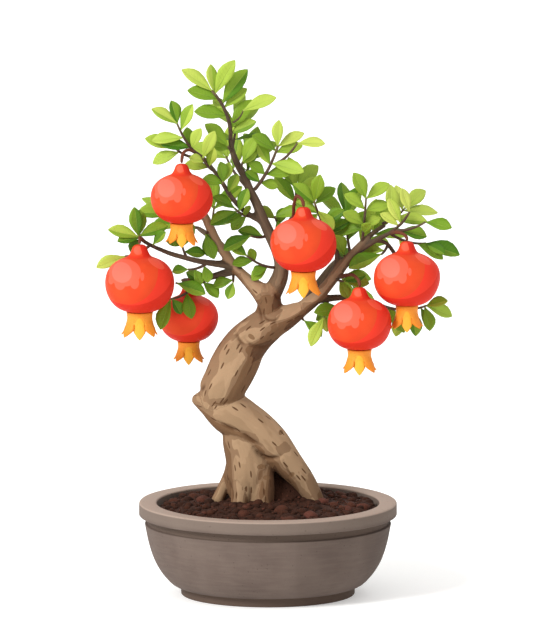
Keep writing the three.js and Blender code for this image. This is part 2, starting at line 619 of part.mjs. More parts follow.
// One leaf of a pair, turned further from its usual seat at every try.
function pairedLeaf(shoot, seat, spread, attempt) {
  const tangent = shootTangent(shoot, seat.t);
  const front = tangent.y > BACKWARD ? 1 : -1;
  const light = new THREE.Vector3(0.15, front, 0.7).normalize();
  const side = new THREE.Vector3().crossVectors(tangent, light).normalize();
  const raised = new THREE.Vector3().crossVectors(side, tangent);
  const roam = LEAF_ROAM + 0.03 * attempt;
  const turn = seat.hand * (LEAF_TURN + LEAF_TURN_STEP * seat.pair) + spread(roam);
  const lift = (seat.pair % 2 ? 0.55 : -0.1) + spread(1.6 * roam);
  const along = tangent.clone().multiplyScalar(Math.cos(turn)).addScaledVector(side, Math.sin(turn));
  along.addScaledVector(raised, 0.75 * Math.sin(lift)).normalize();
  const up = light.clone().addScaledVector(side, spread(LEAF_ROLL));
  const size = 0.94 + spread(0.1) + (seat.t > 0.9 ? 0.08 : 0);
  const width = LEAF_WIDTH * (size + spread(0.1));
  return { along, up, length: LEAF_LENGTH * size, width, droop: LEAF_DROOP + spread(0.07) };
}

// One leaf that points its own way, turned a little further from it at every try.
function headedLeaf(seat, spread, attempt) {
  const roam = HEADED_ROAM + 0.02 * attempt;
  const heading = THREE.MathUtils.degToRad(seat.heading) + spread(roam);
  const lift = HEADED_LIFT * seat.turn + spread(3 * roam);
  const across = Math.cos(lift);
  const along = new THREE.Vector3(Math.sin(heading) * across, -Math.sin(lift), Math.cos(heading) * across);
  const up = new THREE.Vector3(0.15 + spread(0.3), -1, 0.6 + spread(0.3));
  const width = LEAF_WIDTH * (0.45 + 0.55 * seat.size);
  return { along, up, length: LEAF_LENGTH * seat.size, width, droop: HEADED_DROOP + spread(0.05) };
}

function leafShape(shoot, seat, random, attempt) {
  const spread = (reach) => (2 * random() - 1) * reach;
  const leaf = seat.size ? headedLeaf(seat, spread, attempt) : pairedLeaf(shoot, seat, spread, attempt);
  leaf.up.addScaledVector(leaf.along, -leaf.up.dot(leaf.along)).normalize();
  return { ...leaf, root: shootPoint(shoot, seat.t), thickness: LEAF_THICKNESS };
}

function overlaps(a, b) {
  const [p, q] = [a.box, b.box];
  for (let k = 0; k < 3; k += 1) {
    if (p.min[k] > q.max[k] || q.min[k] > p.max[k]) {
      return false;
    }
  }
  const common = a.body.intersect(b.body);
  const meet = !common.isEmpty();
  common.delete();
  return meet;
}

function boxed(body) {
  return { body, box: body.boundingBox() };
}

// The part of a leaf beyond its root, which has to stay clear of its own twig and sisters.
function clearOfRoot(shape) {
  const root = shape.root.clone().addScaledVector(shape.along, ROOT_SHARE * shape.length);
  return { ...shape, root, length: (1 - ROOT_SHARE) * shape.length };
}

// One node of leaves for each shoot. A leaf that would meet anything is turned until it is clear.
function makeSprays(hardBodies, woodClear) {
  const names = Object.keys(SHOOTS);
  const fixed = hardBodies.map(boxed);
  const twigs = names.map((name) => boxed(makeTwig(SHOOTS[name], SOCKET_GAP)));
  const leaves = names.map(() => []);
  return names.map((name, own) => {
    const random = randomStream(own);
    const bodies = [largestPiece(makeTwig(SHOOTS[name]).subtract(woodClear))];
    const strangers = [...fixed, ...twigs.filter((twig, i) => i !== own), ...leaves.flat()];
    const sisters = [twigs[own]];
    for (const seat of leafSeats(SHOOTS[name])) {
      for (let attempt = 0; attempt < TRIES; attempt += 1) {
        const shape = leafShape(SHOOTS[name], seat, random, attempt);
        const whole = boxed(blade(shape));
        const outer = boxed(blade(clearOfRoot(shape)));
        const blocked = strangers.some((other) => overlaps(whole, other))
          || sisters.some((other) => overlaps(outer, other));
        if (!blocked) {
          bodies.push(whole.body);
          sisters.push(boxed(blade({ ...clearOfRoot(shape), swell: GAP })));
          leaves[own].push(boxed(blade({ ...shape, swell: GAP })));
          break;
        }
      }
    }
    return [name, bodies];
  });
}

// ---- assembly ----

const MATERIALS = {
  pot: { color: 0x7c6f68, roughness: 0.85, metalness: 0 },
  soil: { color: 0x44261b, roughness: 1, metalness: 0 },
  wood: { color: 0xa4835f, roughness: 0.9, metalness: 0 },
  fruit: { color: 0xf04a32, roughness: 0.4, metalness: 0 },
  crown: { color: 0xf2a032, roughness: 0.6, metalness: 0 },
  leaf: { color: 0x7fa534, roughness: 0.6, metalness: 0 },
};

const group = new THREE.Group();

function place(name, geometry, look) {
  const mesh = new THREE.Mesh(geometry, new THREE.MeshStandardMaterial(MATERIALS[look]));
  mesh.name = name;
  group.add(mesh);
}

// The parts of the tree that stand in the soil, as solids swollen by so much.
function footOfTree(swell) {
  return [
    ...TRUNK_LIMBS.map((route) => limb(route, { sides: 10, spans: 2, swell, flutes: 0.05, twist: 2.5 })),
    ...ROOTS.map((route) => limb(route, { sides: 6, swell })),
  ].map(solid);
}

function allWood(swell) {
  const upper = [
    ...BOUGHS.map((route) => limb(route, { sides: 8, swell })),
    ...BRANCHES.map((route) => limb(route, { sides: 5, swell })),
    ...FRUITS.map((fruit) => limb(stalkOf(fruit), { sides: 4, swell })),
  ].map(solid);
  return joined([...footOfTree(swell), ...upper]);
}

const wood = allWood(0);
const woodClear = allWood(GAP);
const fruits = FRUITS.map((fruit) => makeFruit(fruit));
const crowns = FRUITS.map((fruit) => makeCrown(fruit));

place("pot", makePot(), "pot");
place("soil", geometryOf(makeSoil(joined(footOfTree(SOCKET_GAP)))), "soil");
place("wood", geometryOf(wood), "wood");
fruits.forEach((body, i) => place(`fruit_${i + 1}`, geometryOf(body), "fruit"));
crowns.forEach((body, i) => place(`crown_${i + 1}`, geometryOf(body), "crown"));

const grownFruits = FRUITS.map((fruit) => makeFruit(fruit, LEAF_GAP));
for (const [name, bodies] of makeSprays([woodClear, ...grownFruits, ...crowns], woodClear)) {
  place(`spray_${name}`, geometryOf(largestPiece(joined(bodies))), "leaf");
}

// the middle of the footprint at ground level becomes the origin
group.updateMatrixWorld(true);
const bounds = new THREE.Box3().setFromObject(group, true);
group.position.set(-(bounds.min.x + bounds.max.x) / 2, -(bounds.min.y + bounds.max.y) / 2, -bounds.min.z);
group.updateMatrixWorld(true);

export default group;
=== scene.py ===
"""Finished surfaces for a dwarf pomegranate bonsai in a stoneware bowl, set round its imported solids.

Everything ends up in metres in the part's own frame. Routes and sizes are written in millimetres from the
bowl's upright axis, and spot() turns them into places.
"""

import math
import random

import bmesh
import bpy
import numpy as np
from mathutils import Matrix, Vector, noise


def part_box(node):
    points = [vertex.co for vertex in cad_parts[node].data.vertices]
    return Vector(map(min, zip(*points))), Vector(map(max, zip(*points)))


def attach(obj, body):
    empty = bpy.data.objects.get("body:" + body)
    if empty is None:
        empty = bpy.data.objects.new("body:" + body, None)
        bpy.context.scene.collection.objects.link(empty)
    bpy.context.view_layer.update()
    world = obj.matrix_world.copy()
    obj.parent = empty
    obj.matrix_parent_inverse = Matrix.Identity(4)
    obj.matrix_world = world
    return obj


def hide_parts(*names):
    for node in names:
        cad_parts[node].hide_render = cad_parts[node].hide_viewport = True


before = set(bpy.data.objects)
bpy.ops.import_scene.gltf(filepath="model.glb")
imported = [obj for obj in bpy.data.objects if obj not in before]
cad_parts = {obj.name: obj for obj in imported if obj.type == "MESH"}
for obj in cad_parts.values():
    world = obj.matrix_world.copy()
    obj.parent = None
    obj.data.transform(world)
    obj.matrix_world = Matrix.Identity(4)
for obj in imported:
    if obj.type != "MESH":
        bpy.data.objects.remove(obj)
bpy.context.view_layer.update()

MM = 0.001
bowl_low, bowl_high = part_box("pot")
AXIS = Vector(((bowl_low.x + bowl_high.x) / 2, (bowl_low.y + bowl_high.y) / 2, 0))


def spot(x, y, z):
    """A place in the frame for a point in millimetres from the bowl's axis."""
    return AXIS + Vector((x, y, z)) * MM


# ---- camera and light ----

PICTURE_HEIGHT = 640
POINT = 0.75  # millimetres at the tree for each point of the picture
ELEVATION = math.radians(8.9)
DISTANCE = 15.0  # metres: far off with a long lens, so that near and far are drawn alike
SENSOR = 36
FARTHEST_SEEN = 100
AIM = (-1.1, 0, 207.7)
SKY_LIGHT = 0.72
# name, strength, spread in degrees, where it comes from
SUNS = [
    ("key", 2.3, 16, (-0.62, -0.62, 0.6)),
    ("side", 0.7, 30, (-0.85, -0.5, 0.1)),
    ("back", 0.5, 40, (0.3, 0.9, 0.7)),
]


def placed(name, data):
    """A new object in the scene that holds the data."""
    made = bpy.data.objects.new(name, data)
    bpy.context.scene.collection.objects.link(made)
    return made


def set_camera():
    data = bpy.data.cameras.new("camera")
    data.sensor_width = SENSOR
    data.lens = SENSOR * DISTANCE / (PICTURE_HEIGHT * POINT * MM)
    data.clip_end = FARTHEST_SEEN
    back = Vector((0, -math.cos(ELEVATION), math.sin(ELEVATION)))
    camera = placed("camera", data)
    camera.location = spot(*AIM) + back * DISTANCE
    camera.rotation_euler = (-back).to_track_quat("-Z", "Y").to_euler()
    bpy.context.scene.camera = camera


def set_lights():
    bpy.context.scene.view_settings.view_transform = "Standard"
    world = bpy.data.worlds.new("studio")
    world.use_nodes = True
    sky = world.node_tree.nodes["Background"].inputs
    sky["Color"].default_value = (1, 1, 1, 1)
    sky["Strength"].default_value = SKY_LIGHT
    bpy.context.scene.world = world
    for name, strength, spread, source in SUNS:
        data = bpy.data.lights.new(name, "SUN")
        data.energy = strength
        data.angle = math.radians(spread)
        placed(name, data).rotation_euler = Vector(source).to_track_quat("Z", "Y").to_euler()


# ---- finishes ----


def tint(code):
    """A colour given as six hex digits, in the linear values that a shader takes."""
    parts = [int(code[i : i + 2], 16) / 255 for i in (0, 2, 4)]
    linear = [p / 12.92 if p <= 0.04045 else ((p + 0.055) / 1.055) ** 2.4 for p in parts]
    return (*linear, 1)


def arithmetic(operation, swapped=False):
    """A method that works out one operation with a field and, where it takes two, another value."""

    def method(field, *others):
        values = (*others, field) if swapped else (field, *others)
        return field.paint.node("Math", dict(enumerate(values)), operation=operation)

    return method


class Field:
    """A value that varies over a surface, with the arithmetic that the finishes use."""

    def __init__(self, paint, socket):
        self.paint = paint
        self.socket = socket

    __add__ = arithmetic("ADD")
    __radd__ = arithmetic("ADD", swapped=True)
    __sub__ = arithmetic("SUBTRACT")
    __rsub__ = arithmetic("SUBTRACT", swapped=True)
    __mul__ = arithmetic("MULTIPLY")
    __truediv__ = arithmetic("DIVIDE")
    __abs__ = arithmetic("ABSOLUTE")
    sine = arithmetic("SINE")
    root = arithmetic("SQRT")
    or_larger = arithmetic("MAXIMUM")

    def step(self, low, high):
        """0 where the value is under low, 1 where it is over high, and smooth between them."""
        inputs = {"Value": self, "From Min": low, "From Max": high}
        return self.paint.node("MapRange", inputs, interpolation_type="SMOOTHSTEP")

    def outputs(self):
        """Every output of the node that this value comes from."""
        return [Field(self.paint, socket) for socket in self.socket.node.outputs]


class Paint:
    """One finish. Values that are the same all over go straight on the shader's sockets."""

    def __init__(self, name, **constants):
        self.material = bpy.data.materials.new(name)
        self.material.use_nodes = True
        self.tree = self.material.node_tree
        self.shader = self.tree.nodes["Principled BSDF"]
        for key, value in constants.items():
            self.shader.inputs[key.replace("_", " ")].default_value = value

    def node(self, kind, inputs, output=0, stops=(), **settings):
        """Adds a node: its settings and a ramp's stops first, then its sockets' values or fields."""
        made = self.tree.nodes.new("ShaderNode" + kind)
        for key, value in settings.items():
            setattr(made, key, value)
        for i, (place, code) in enumerate(stops):
            elements = made.color_ramp.elements
            element = elements[i] if i < len(elements) else elements.new(place)
            element.position = place
            element.color = tint(code)
        for key, value in inputs.items():
            if isinstance(value, Field):
                self.tree.links.new(value.socket, made.inputs[key])
            else:
                made.inputs[key].default_value = value
        return Field(self, made.outputs[output])

    def place(self):
        return self.node("TexCoord", {}, output="Object")

    def attribute(self, name):
        """The three numbers that a piece's own attribute holds."""
        vector = self.node("Attribute", {}, output="Vector", attribute_name=name)
        return self.parts(vector)

    def parts(self, vector):
        return self.node("SeparateXYZ", {"Vector": vector}).outputs()

    def joined(self, x, y, z):
        return self.node("CombineXYZ", {"X": x, "Y": y, "Z": z})

    def grain(self, vector, size, detail=3.0, roughness=0.5):
        """Cloudy noise around 0.5, whose clouds are about so many of the vector's units across."""
        inputs = {"Vector": vector, "Scale": 1 / size, "Detail": detail, "Roughness": roughness}
        return self.node("TexNoise", inputs)

    def cells(self, vector, size, **settings):
        """Distance from the middle of the nearest cell, and a number that each cell has of its own."""
        inputs = {"Vector": vector, "Scale": 1 / size}
        distance, colour = self.node("TexVoronoi", inputs, **settings).outputs()[:2]
        return distance, self.parts(colour)[0]

    def marks(self, across, along, width, length):
        """Cells on a skin, so wide and so long, with the same two values as cells()."""
        vector = self.joined(across * (1 / width), along * (1 / length), 0.0)
        return self.cells(vector, 1.0, voronoi_dimensions="2D")

    def mix(self, share, first, second):
        """One colour over another. Each is six hex digits or a field."""
        ends = {6: first, 7: second}
        inputs = {key: tint(value) if isinstance(value, str) else value for key, value in ends.items()}
        return self.node("Mix", {0: share, **inputs}, output=2, data_type="RGBA")

    def coats(self, colour, *coats):
        """Lays coats over a colour in turn. Each is its share and its colour."""
        for share, coat in coats:
            colour = self.mix(share, colour, coat)
        return colour

    def ramp(self, value, *stops):
        return self.node("ValToRGB", {"Fac": value}, stops=stops)

    def finish(self, colour, roughness, height, depth):
        """Links what varies: colour, roughness and a relief of so many millimetres."""
        inputs = {"Height": height, "Strength": 1.0, "Distance": depth * MM}
        normal = self.node("Bump", inputs)
        sockets = {"Base Color": colour, "Roughness": roughness, "Normal": normal}
        for key, field in sockets.items():
            self.tree.links.new(field.socket, self.shader.inputs[key])
        return self


def millimetres(paint):
    """Object coordinates in millimetres."""
    return paint.node("VectorMath", {0: paint.place(), 3: 1 / MM}, operation="SCALE")


def stoneware():
    """Unglazed fired clay: sand, specks, turning marks and a lighter lip and rim top, with painted shade in
    bands to the right and painted shadow on the band under the lip.
    """
    paint = Paint("stoneware", Specular_IOR_Level=0.25)
    at = millimetres(paint)
    east, _, height = paint.parts(at)
    clouds = paint.grain(at, 34, 4)
    sand = paint.grain(at, 1.1, 2, 0.7)
    speck_distance, speck_kind = paint.cells(at, 3.6)
    specks = (1 - speck_distance.step(0.07, 0.16)) * speck_kind.step(0.62, 0.66)
    flat = paint.node("VectorMath", {0: at, 1: (0.15, 0.15, 1.6)}, operation="MULTIPLY")
    turning = paint.grain(flat, 3.2, 3)
    painted_right_shade = east + (clouds - 0.5) * 16
    neck = height.step(NECK_FOOT - 0.6, NECK_FOOT + 0.8) * (1 - height.step(LIP_FOOT - 0.8, LIP_FOOT + 0.2))
    foot = 1 - height.step(FOOT_HEIGHT - 0.3, FOOT_HEIGHT + 1.4)
    colour = paint.coats(
        paint.mix(clouds.step(0.3, 0.7), "5b4d46", "685a52"),
        (turning.step(0.35, 0.75) * 0.3, "72645a"),
        # painted shade: two soft bands darken the right side
        (painted_right_shade.step(12, 18) * 0.16 + painted_right_shade.step(62, 68) * 0.2, "41342e"),
        (height.step(LIP_FOOT - 0.5, LIP_FOOT + 4) * 0.7, "74665c"),
        (height.step(RIM_TOP - 1.5, RIM_TOP - 0.4) * 0.85, "a99587"),
        # painted shadow of the lip on the recessed band under it
        (neck * 0.8, "57483e"),
        (foot * 0.9, "524238"),
        (sand.step(0.55, 0.8) * 0.22, "50413a"),
        (specks * 0.45, "3f3029"),
    )
    relief = sand * 0.5 + turning * 0.5 - specks * 0.6
    return paint.finish(colour, 0.74 + clouds * 0.2, relief, 0.35)


def planting_mix():
    """Moist dark soil. Each clod has its own tone."""
    paint = Paint("planting_mix", Specular_IOR_Level=0.2)
    at = millimetres(paint)
    tone = paint.attribute("tone")[0]
    crumbs = paint.grain(at, 1.5, 4, 0.7)
    clouds = paint.grain(at, 9, 3)
    mixed = tone + (clouds - 0.5) * 0.35
    colour = paint.coats(
        paint.ramp(mixed, (0.1, "2f1a10"), (0.45, "412417"), (0.75, "512d20"), (1.0, "663a30")),
        (crumbs.step(0.62, 0.85) * 0.22, "7d5645"),
        (1 - crumbs.step(0.2, 0.42), "24130c"),
    )
    return paint.finish(colour, 0.85 + crumbs * 0.15, crumbs, 0.9)


def bark():
    """Smooth tan bark in clear tones, with worn patches, knots and short splits, and painted shade in crisp
    bands to the right, underneath and in the creases. Thin wood is dark brown.
    """
    paint = Paint("bark", Specular_IOR_Level=0.15)
    across, beside, along = paint.attribute("grain")
    girth, crease_shade, stalk = paint.attribute("girth_crease_shade_stalk")
    dark, under, arc = paint.attribute("tone_shade_arc")
    at = millimetres(paint)
    fibre = paint.grain(paint.joined(across * 1.3, beside * 1.3, along * 0.14), 2.6, 3, 0.6)
    patches = paint.grain(paint.joined(across, beside, along * 0.5), 13, 2, 0.45)
    # painted shade: darker to the right and underneath, with wavy edges
    shaded = under + (patches - 0.5) * 0.85
    split_distance, split_kind = paint.marks(arc, along, 4.2, 18)
    splits = (1 - split_distance.step(0.115, 0.165)) * split_kind.step(0.46, 0.48) * girth.step(0.35, 0.6)
    knot_distance, knot_kind = paint.marks(arc, along, 36, 20)
    knots = (1 - knot_distance.step(0.075, 0.09)) * knot_kind.step(0.3, 0.32) * girth.step(0.5, 0.8)
    colour = paint.coats(
        paint.mix(patches.step(0.46, 0.5), "967a5d", "a08365"),
        (patches.step(0.6, 0.63), "a88a6b"),
        (fibre.step(0.5, 0.78) * 0.14, "856850"),
        # painted shade in three crisp bands
        (shaded.step(0.22, 0.245), "85694f"),
        (shaded.step(0.42, 0.445), "71543b"),
        (shaded.step(0.76, 0.79), "5c412d"),
        (knots * 0.85, "74563b"),
        (dark.step(0.1, 0.9), paint.mix(fibre.step(0.35, 0.7), "4d3f33", "60503f")),
        (stalk, "6a3a2a"),
        (splits * 0.9, "553822"),
        # painted shade in the creases
        (crease_shade * 0.9, "513520"),
    )
    relief = fibre * 0.3 - splits * 0.7 - knots * 0.3 + paint.grain(at, 1.3, 3) * 0.2
    return paint.finish(colour, 0.75 + fibre * 0.2, relief, 0.6)


# tones of the rind: lit, its clouds, the painted light patch, the painted highlight in it (which also tints
# the pores), painted shade and painted deep shade
LIT, CLOUDY, PAINTED_LIGHT, HIGHLIGHT_AND_PORES, SHADE, DEEP = "d14224", "d74927", "e65b44", "ea6a58", "e13a29", "cd2f20"
# ovals on a fruit, in its radii: place across and up, half width, half height, and turn. First the painted
# light patch and its rounded drips, then the painted highlight in it, what isn't in painted shade or in
# painted deep shade, the painted highlight on the other side, and the one on the neck
LIGHT_PATCH_OVALS = [
    (-0.42, 0.33, 0.46, 0.39),
    (-0.55, 0.02, 0.15, 0.18),
    (-0.14, 0.05, 0.13, 0.18),
    (0.08, 0.22, 0.055, 0.12),
    (-0.8, 0.14, 0.08, 0.14),
]
HIGHLIGHT_OVAL = (-0.5, 0.34, 0.28, 0.3, 0.5)
UNSHADED = (-0.38, 0.35, 0.91, 0.93)
NOT_DEEP = (-0.2, 0.35, 1.12, 0.94)
SHINE = (0.47, 0.6, 0.27, 0.1, -0.6)
NECK_SHINE = (-0.04, 0.97, 0.13, 0.13)
CRISP, SOFT = 0.012, 0.08  # how far the edge of an oval fades, as a share of its size


def rind(name, with_light_patch):
    """Satin red rind, deeper red to the right and below as painted shade. A painted light patch ends in
    rounded drips.
    """
    paint = Paint(name, Specular_IOR_Level=0.04)
    east, north, up = paint.attribute("rind")
    at = millimetres(paint)
    clouds = paint.grain(paint.joined(east, north, up), 0.9, 2)
    pores_distance, pores_kind = paint.cells(at, 1.7)
    pores = (1 - pores_distance.step(0.1, 0.2)) * pores_kind.step(0.5, 0.6)
    level = up * math.cos(ELEVATION) + north * math.sin(ELEVATION)

    def inside(x, z, half_width, half_height, tilt=0.0, soft=0.03):
        """1 in the oval and 0 outside it."""
        away, over = east - x, level - z
        wide = (away * math.cos(tilt) + over * math.sin(tilt)) / half_width
        tall = (over * math.cos(tilt) - away * math.sin(tilt)) / half_height
        return 1 - (wide * wide + tall * tall).root().step(1 - soft, 1 + soft)

    # painted light: the lit patch on the upper left and its rounded drips
    light_patch = inside(*LIGHT_PATCH_OVALS[0])
    for drip in LIGHT_PATCH_OVALS[1:]:
        light_patch = light_patch.or_larger(inside(*drip, soft=SOFT))
    # the neck: a painted highlight on its left and painted shade on its right
    neck_tone = paint.coats(
        paint.mix(inside(*NECK_SHINE, soft=2 * SOFT), LIT, PAINTED_LIGHT),
        ((east + up * 0.3).step(0.34, 0.36), DEEP),
    )
    colour = paint.coats(
        paint.mix(clouds.step(0.35, 0.65), LIT, CLOUDY),
        (light_patch * with_light_patch, PAINTED_LIGHT),
        # painted highlight in the light patch
        (inside(*HIGHLIGHT_OVAL) * with_light_patch, HIGHLIGHT_AND_PORES),
        # painted shade to the right and painted deep shade below
        (1 - inside(*UNSHADED, soft=CRISP), SHADE),
        (1 - inside(*NOT_DEEP, soft=CRISP), DEEP),
        # painted highlight on the upper right
        (inside(*SHINE) * 0.75, PAINTED_LIGHT),
        (north.step(-0.1, 0.4), paint.mix(clouds.step(0.4, 0.6), SHADE, LIT)),
        # painted light on the upper part of a fruit without the light patch
        (level.step(-0.45, 0.1) * (0.4 - 0.4 * with_light_patch), "ff4836"),
        (up.step(0.8, 0.84), neck_tone),
        # painted shade where the neck meets the shoulder
        (up.step(0.77, 0.8) * (1 - up.step(0.84, 0.88)) * 0.6, DEEP),
        (pores * 0.1, HIGHLIGHT_AND_PORES),
    )
    return paint.finish(colour, 0.42 + clouds * 0.12, clouds * 0.4 - pores * 0.25, 0.3)


def calyx():
    """The orange crown. The lobe in front is a yellow tongue that starts part way down the tube."""
    paint = Paint("calyx", Specular_IOR_Level=0.25)
    beside, down, yellow = paint.attribute("petal")
    at = millimetres(paint)
    streaks = paint.grain(paint.joined(beside * 9, down * 1.4, yellow * 3), 1.0, 3)
    side = abs(beside)
    top = (down - 0.17 - side * side * 0.3).step(0.0, 0.03)
    tongue = yellow.step(0.1, 0.2) * top * (1 - side.step(0.88, 0.97))
    golden = paint.coats(
        paint.mix(yellow.step(0.4, 1.0), "e8972c", "eba52e"),
        ((down - 0.4 - side * side * 0.4).step(0.0, 0.04) * 0.6, "efae38"),
    )
    colour = paint.coats(
        paint.mix(streaks.step(0.35, 0.7), "e58a24", "ec9830"),
        ((1 - down.step(0.0, 0.3)) * 0.5, "e38324"),
        (side.step(0.7, 0.95) * down.step(0.3, 0.5) * 0.6, "dd7a1e"),
        (tongue, golden),
    )
    relief = streaks * 0.5 + tongue * 0.5 + paint.grain(at, 0.8, 2) * 0.2
    return paint.finish(colour, 0.5 + streaks * 0.15, relief, 0.3)


SIDE_VEINS = 11
LEAF_GREENS = [(0.0, "3b6a08"), (0.25, "527e12"), (0.5, "799925"), (0.75, "9db63f"), (1.0, "bdc95b")]


def leaf_green():
    """Leaves from dark inner green, partly painted shade, to pale young green; one half lighter as painted
    light and shade; a midrib and side veins.
    """
    paint = Paint("leaf_green", Specular_IOR_Level=0.22)
    beside, along, tone = paint.attribute("blade")
    at = millimetres(paint)
    clouds = paint.grain(at, 7, 2)
    # painted light and shade: one half of a leaf lighter than the other
    lit_and_shaded_halves = (beside + (along - 0.5) * 0.25).step(-0.04, 0.04)
    light = tone + (lit_and_shaded_halves - 0.5) * 0.26 + (along - 0.5) * 0.1 + (clouds - 0.5) * 0.12
    side = abs(beside)
    midrib = 1 - side.step(0.03, 0.09)
    slant = (along * SIDE_VEINS - side * 1.5) * (2 * math.pi)
    veins = slant.sine().step(0.86, 1.0) * (1 - side.step(0.7, 0.95)) * (1 - midrib)
    colour = paint.coats(
        paint.ramp(light, *LEAF_GREENS),
        (midrib * 0.14, "bccf6a"),
        (veins * 0.08, "b4cb66"),
        ((1 - along.step(0.02, 0.1)) * 0.6, "a4b452"),
    )
    relief = clouds * 0.3 - midrib * 0.7 - veins * 0.4
    return paint.finish(colour, 0.42 + clouds * 0.16, relief, 0.3)


def shoot_bark():
    """Thin brown shoots that turn olive at the tip."""
    paint = Paint("shoot_bark", Specular_IOR_Level=0.25)
    age = paint.attribute("blade")[1]
    fibre = paint.grain(millimetres(paint), 1.4, 3)
    brown = paint.mix(fibre.step(0.35, 0.7), "4f3e30", "635041")
    colour = paint.mix(age.step(0.75, 1.0) * 0.4, brown, "6f6a38")
    return paint.finish(colour, 0.6 + fibre * 0.2, fibre, 0.25)


FLOOR_GLOW = 0.32


def floor_grey():
    paint = Paint("floor", Roughness=0.9, Specular_IOR_Level=0.1, Base_Color=tint("f4f4f2"))
    paint.shader.inputs["Emission Color"].default_value = (1, 1, 1, 1)
    paint.shader.inputs["Emission Strength"].default_value = FLOOR_GLOW
    return paint


# ---- making pieces ----


def mesh_from(bm, name):
    """Turns a bmesh into a mesh, and frees it."""
    mesh = bpy.data.meshes.new(name)
    bm.to_mesh(mesh)
    bm.free()
    return mesh


def piece(name, source, slot, nodes, *paints):
    """Turns a bmesh, or a mesh, into a smooth piece that stands for the named solids."""
    mesh = mesh_from(source, name) if isinstance(source, bmesh.types.BMesh) else source
    for paint in paints:
        mesh.materials.append(paint.material)
    mesh.shade_smooth()
    made = placed(name, mesh)
    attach(made, "root")
    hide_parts(*nodes)


def distances(line):
    """How far along a line each of its rows is."""
    return np.concatenate([[0], np.cumsum(np.linalg.norm(np.diff(line[:, :3], axis=0), axis=1))])


def smooth_line(stations, step):
    """Rows about one step apart on a smooth line through the stations. Every column is carried along."""
    at = np.array(stations, float)
    gone = distances(at)
    slope = np.gradient(at, gone, axis=0)
    places = np.linspace(0, gone[-1], max(2, round(gone[-1] / step) + 1))
    k = np.clip(np.searchsorted(gone, places, side="right") - 1, 0, len(gone) - 2)
    run = (gone[k + 1] - gone[k])[:, None]
    t = (places - gone[k])[:, None] / run
    rising = (2 * t**3 - 3 * t**2 + 1) * at[k] + (3 * t**2 - 2 * t**3) * at[k + 1]
    leaning = (t**3 - 2 * t**2 + t) * run * slope[k] + (t**3 - t**2) * run * slope[k + 1]
    return rising + leaning


def tangents(line):
    """Unit directions along the first three columns of a line."""
    ways = np.gradient(line[:, :3], axis=0)
    return ways / np.linalg.norm(ways, axis=1)[:, None]


def carried_frames(line):
    """A rotation for each row of a line, turned as little as possible from one row to the next."""
    ways = [Vector(way) for way in tangents(line)]
    turn = ways[0].to_track_quat("Z", "Y")
    frames = [turn]
    for before, after in zip(ways, ways[1:]):
        turn = before.rotation_difference(after) @ turn
        frames.append(turn)
    return frames


def limb(line, sides, swell=0.0, layer_name=None):
    """Draws a closed round limb along rows of x, y, z and radius. A named layer takes its length, 0 to 1."""
    bm = bmesh.new()
    layer = bm.verts.layers.float_vector.new(layer_name) if layer_name else None
    rings = []
    for row, turn in zip(line, carried_frames(line)):
        size = Matrix.Scale((row[3] + swell) * MM, 4)
        rings.append(Matrix.Translation(spot(*row[:3])) @ turn.to_matrix().to_4x4() @ size)
    start = bmesh.ops.create_circle(bm, cap_ends=True, segments=sides, radius=1, matrix=rings[0])
    cap = start["verts"][0].link_faces[0]
    for i, (before, after) in enumerate(zip(rings, rings[1:]), start=1):
        grown = bmesh.ops.extrude_face_region(bm, geom=[cap])["geom"]
        cap = next(g for g in grown if isinstance(g, bmesh.types.BMFace))
        bmesh.ops.transform(bm, matrix=after @ before.inverted(), verts=list(cap.verts))
        if layer:
            for vert in cap.verts:
                vert[layer] = (0, i / (len(rings) - 1), 0)
    return bm


def gathered(parts):
    """Puts small meshes together in one, and frees them."""
    whole = bmesh.new()
    carrier = bpy.data.meshes.new("carrier")
    for part in parts:
        part.to_mesh(carrier)
        part.free()
        whole.from_mesh(carrier)
    bpy.data.meshes.remove(carrier)
    return whole


def turned(bm, outline, steps, closed=False):
    """Spins an outline of radii and heights in millimetres round the upright through the origin."""
    verts = [bm.verts.new((r * MM, 0, z * MM)) for r, z in outline]
    pairs = list(zip(verts, verts[1:])) + ([(verts[-1], verts[0])] if closed else [])
    edges = [bm.edges.new(pair) for pair in pairs]
    round_up = {"cent": (0, 0, 0), "axis": (0, 0, 1), "angle": 2 * math.pi}
    bmesh.ops.spin(bm, geom=verts + edges, steps=steps, use_merge=True, **round_up)
    bmesh.ops.remove_doubles(bm, verts=bm.verts[:], dist=1e-7)
    bmesh.ops.recalc_face_normals(bm, faces=bm.faces[:])


# ---- bowl ----

RIM_RADIUS = 97
MOUTH_RADIUS = 83.5
RIM_TOP = 69.6
LIP_FOOT = 59.6
NECK_RADIUS = 90.6
NECK_FOOT = 53.6
NECK_SLOPE = 0.6
SHOULDER_RADIUS = 92.7
FOOT_RADIUS = 65.3
FOOT_INSIDE = 56.8
FOOT_HEIGHT = 6.5
FOOT_RECESS = 3.5
FLOOR_TOP = 12
DRAIN_RADIUS = 6
BOWL_STEPS = 144
BOWL_INSIDE = [(82.9, 60), (82.3, 50), (78.5, 31), (71, 17), (62, FLOOR_TOP)]
BOWL_BODY = [
    (68, FOOT_HEIGHT + 0.2), (71, 7.8), (77.3, 13.5), (84.3, 24), (89.4, 38), (SHOULDER_RADIUS, NECK_FOOT),
]
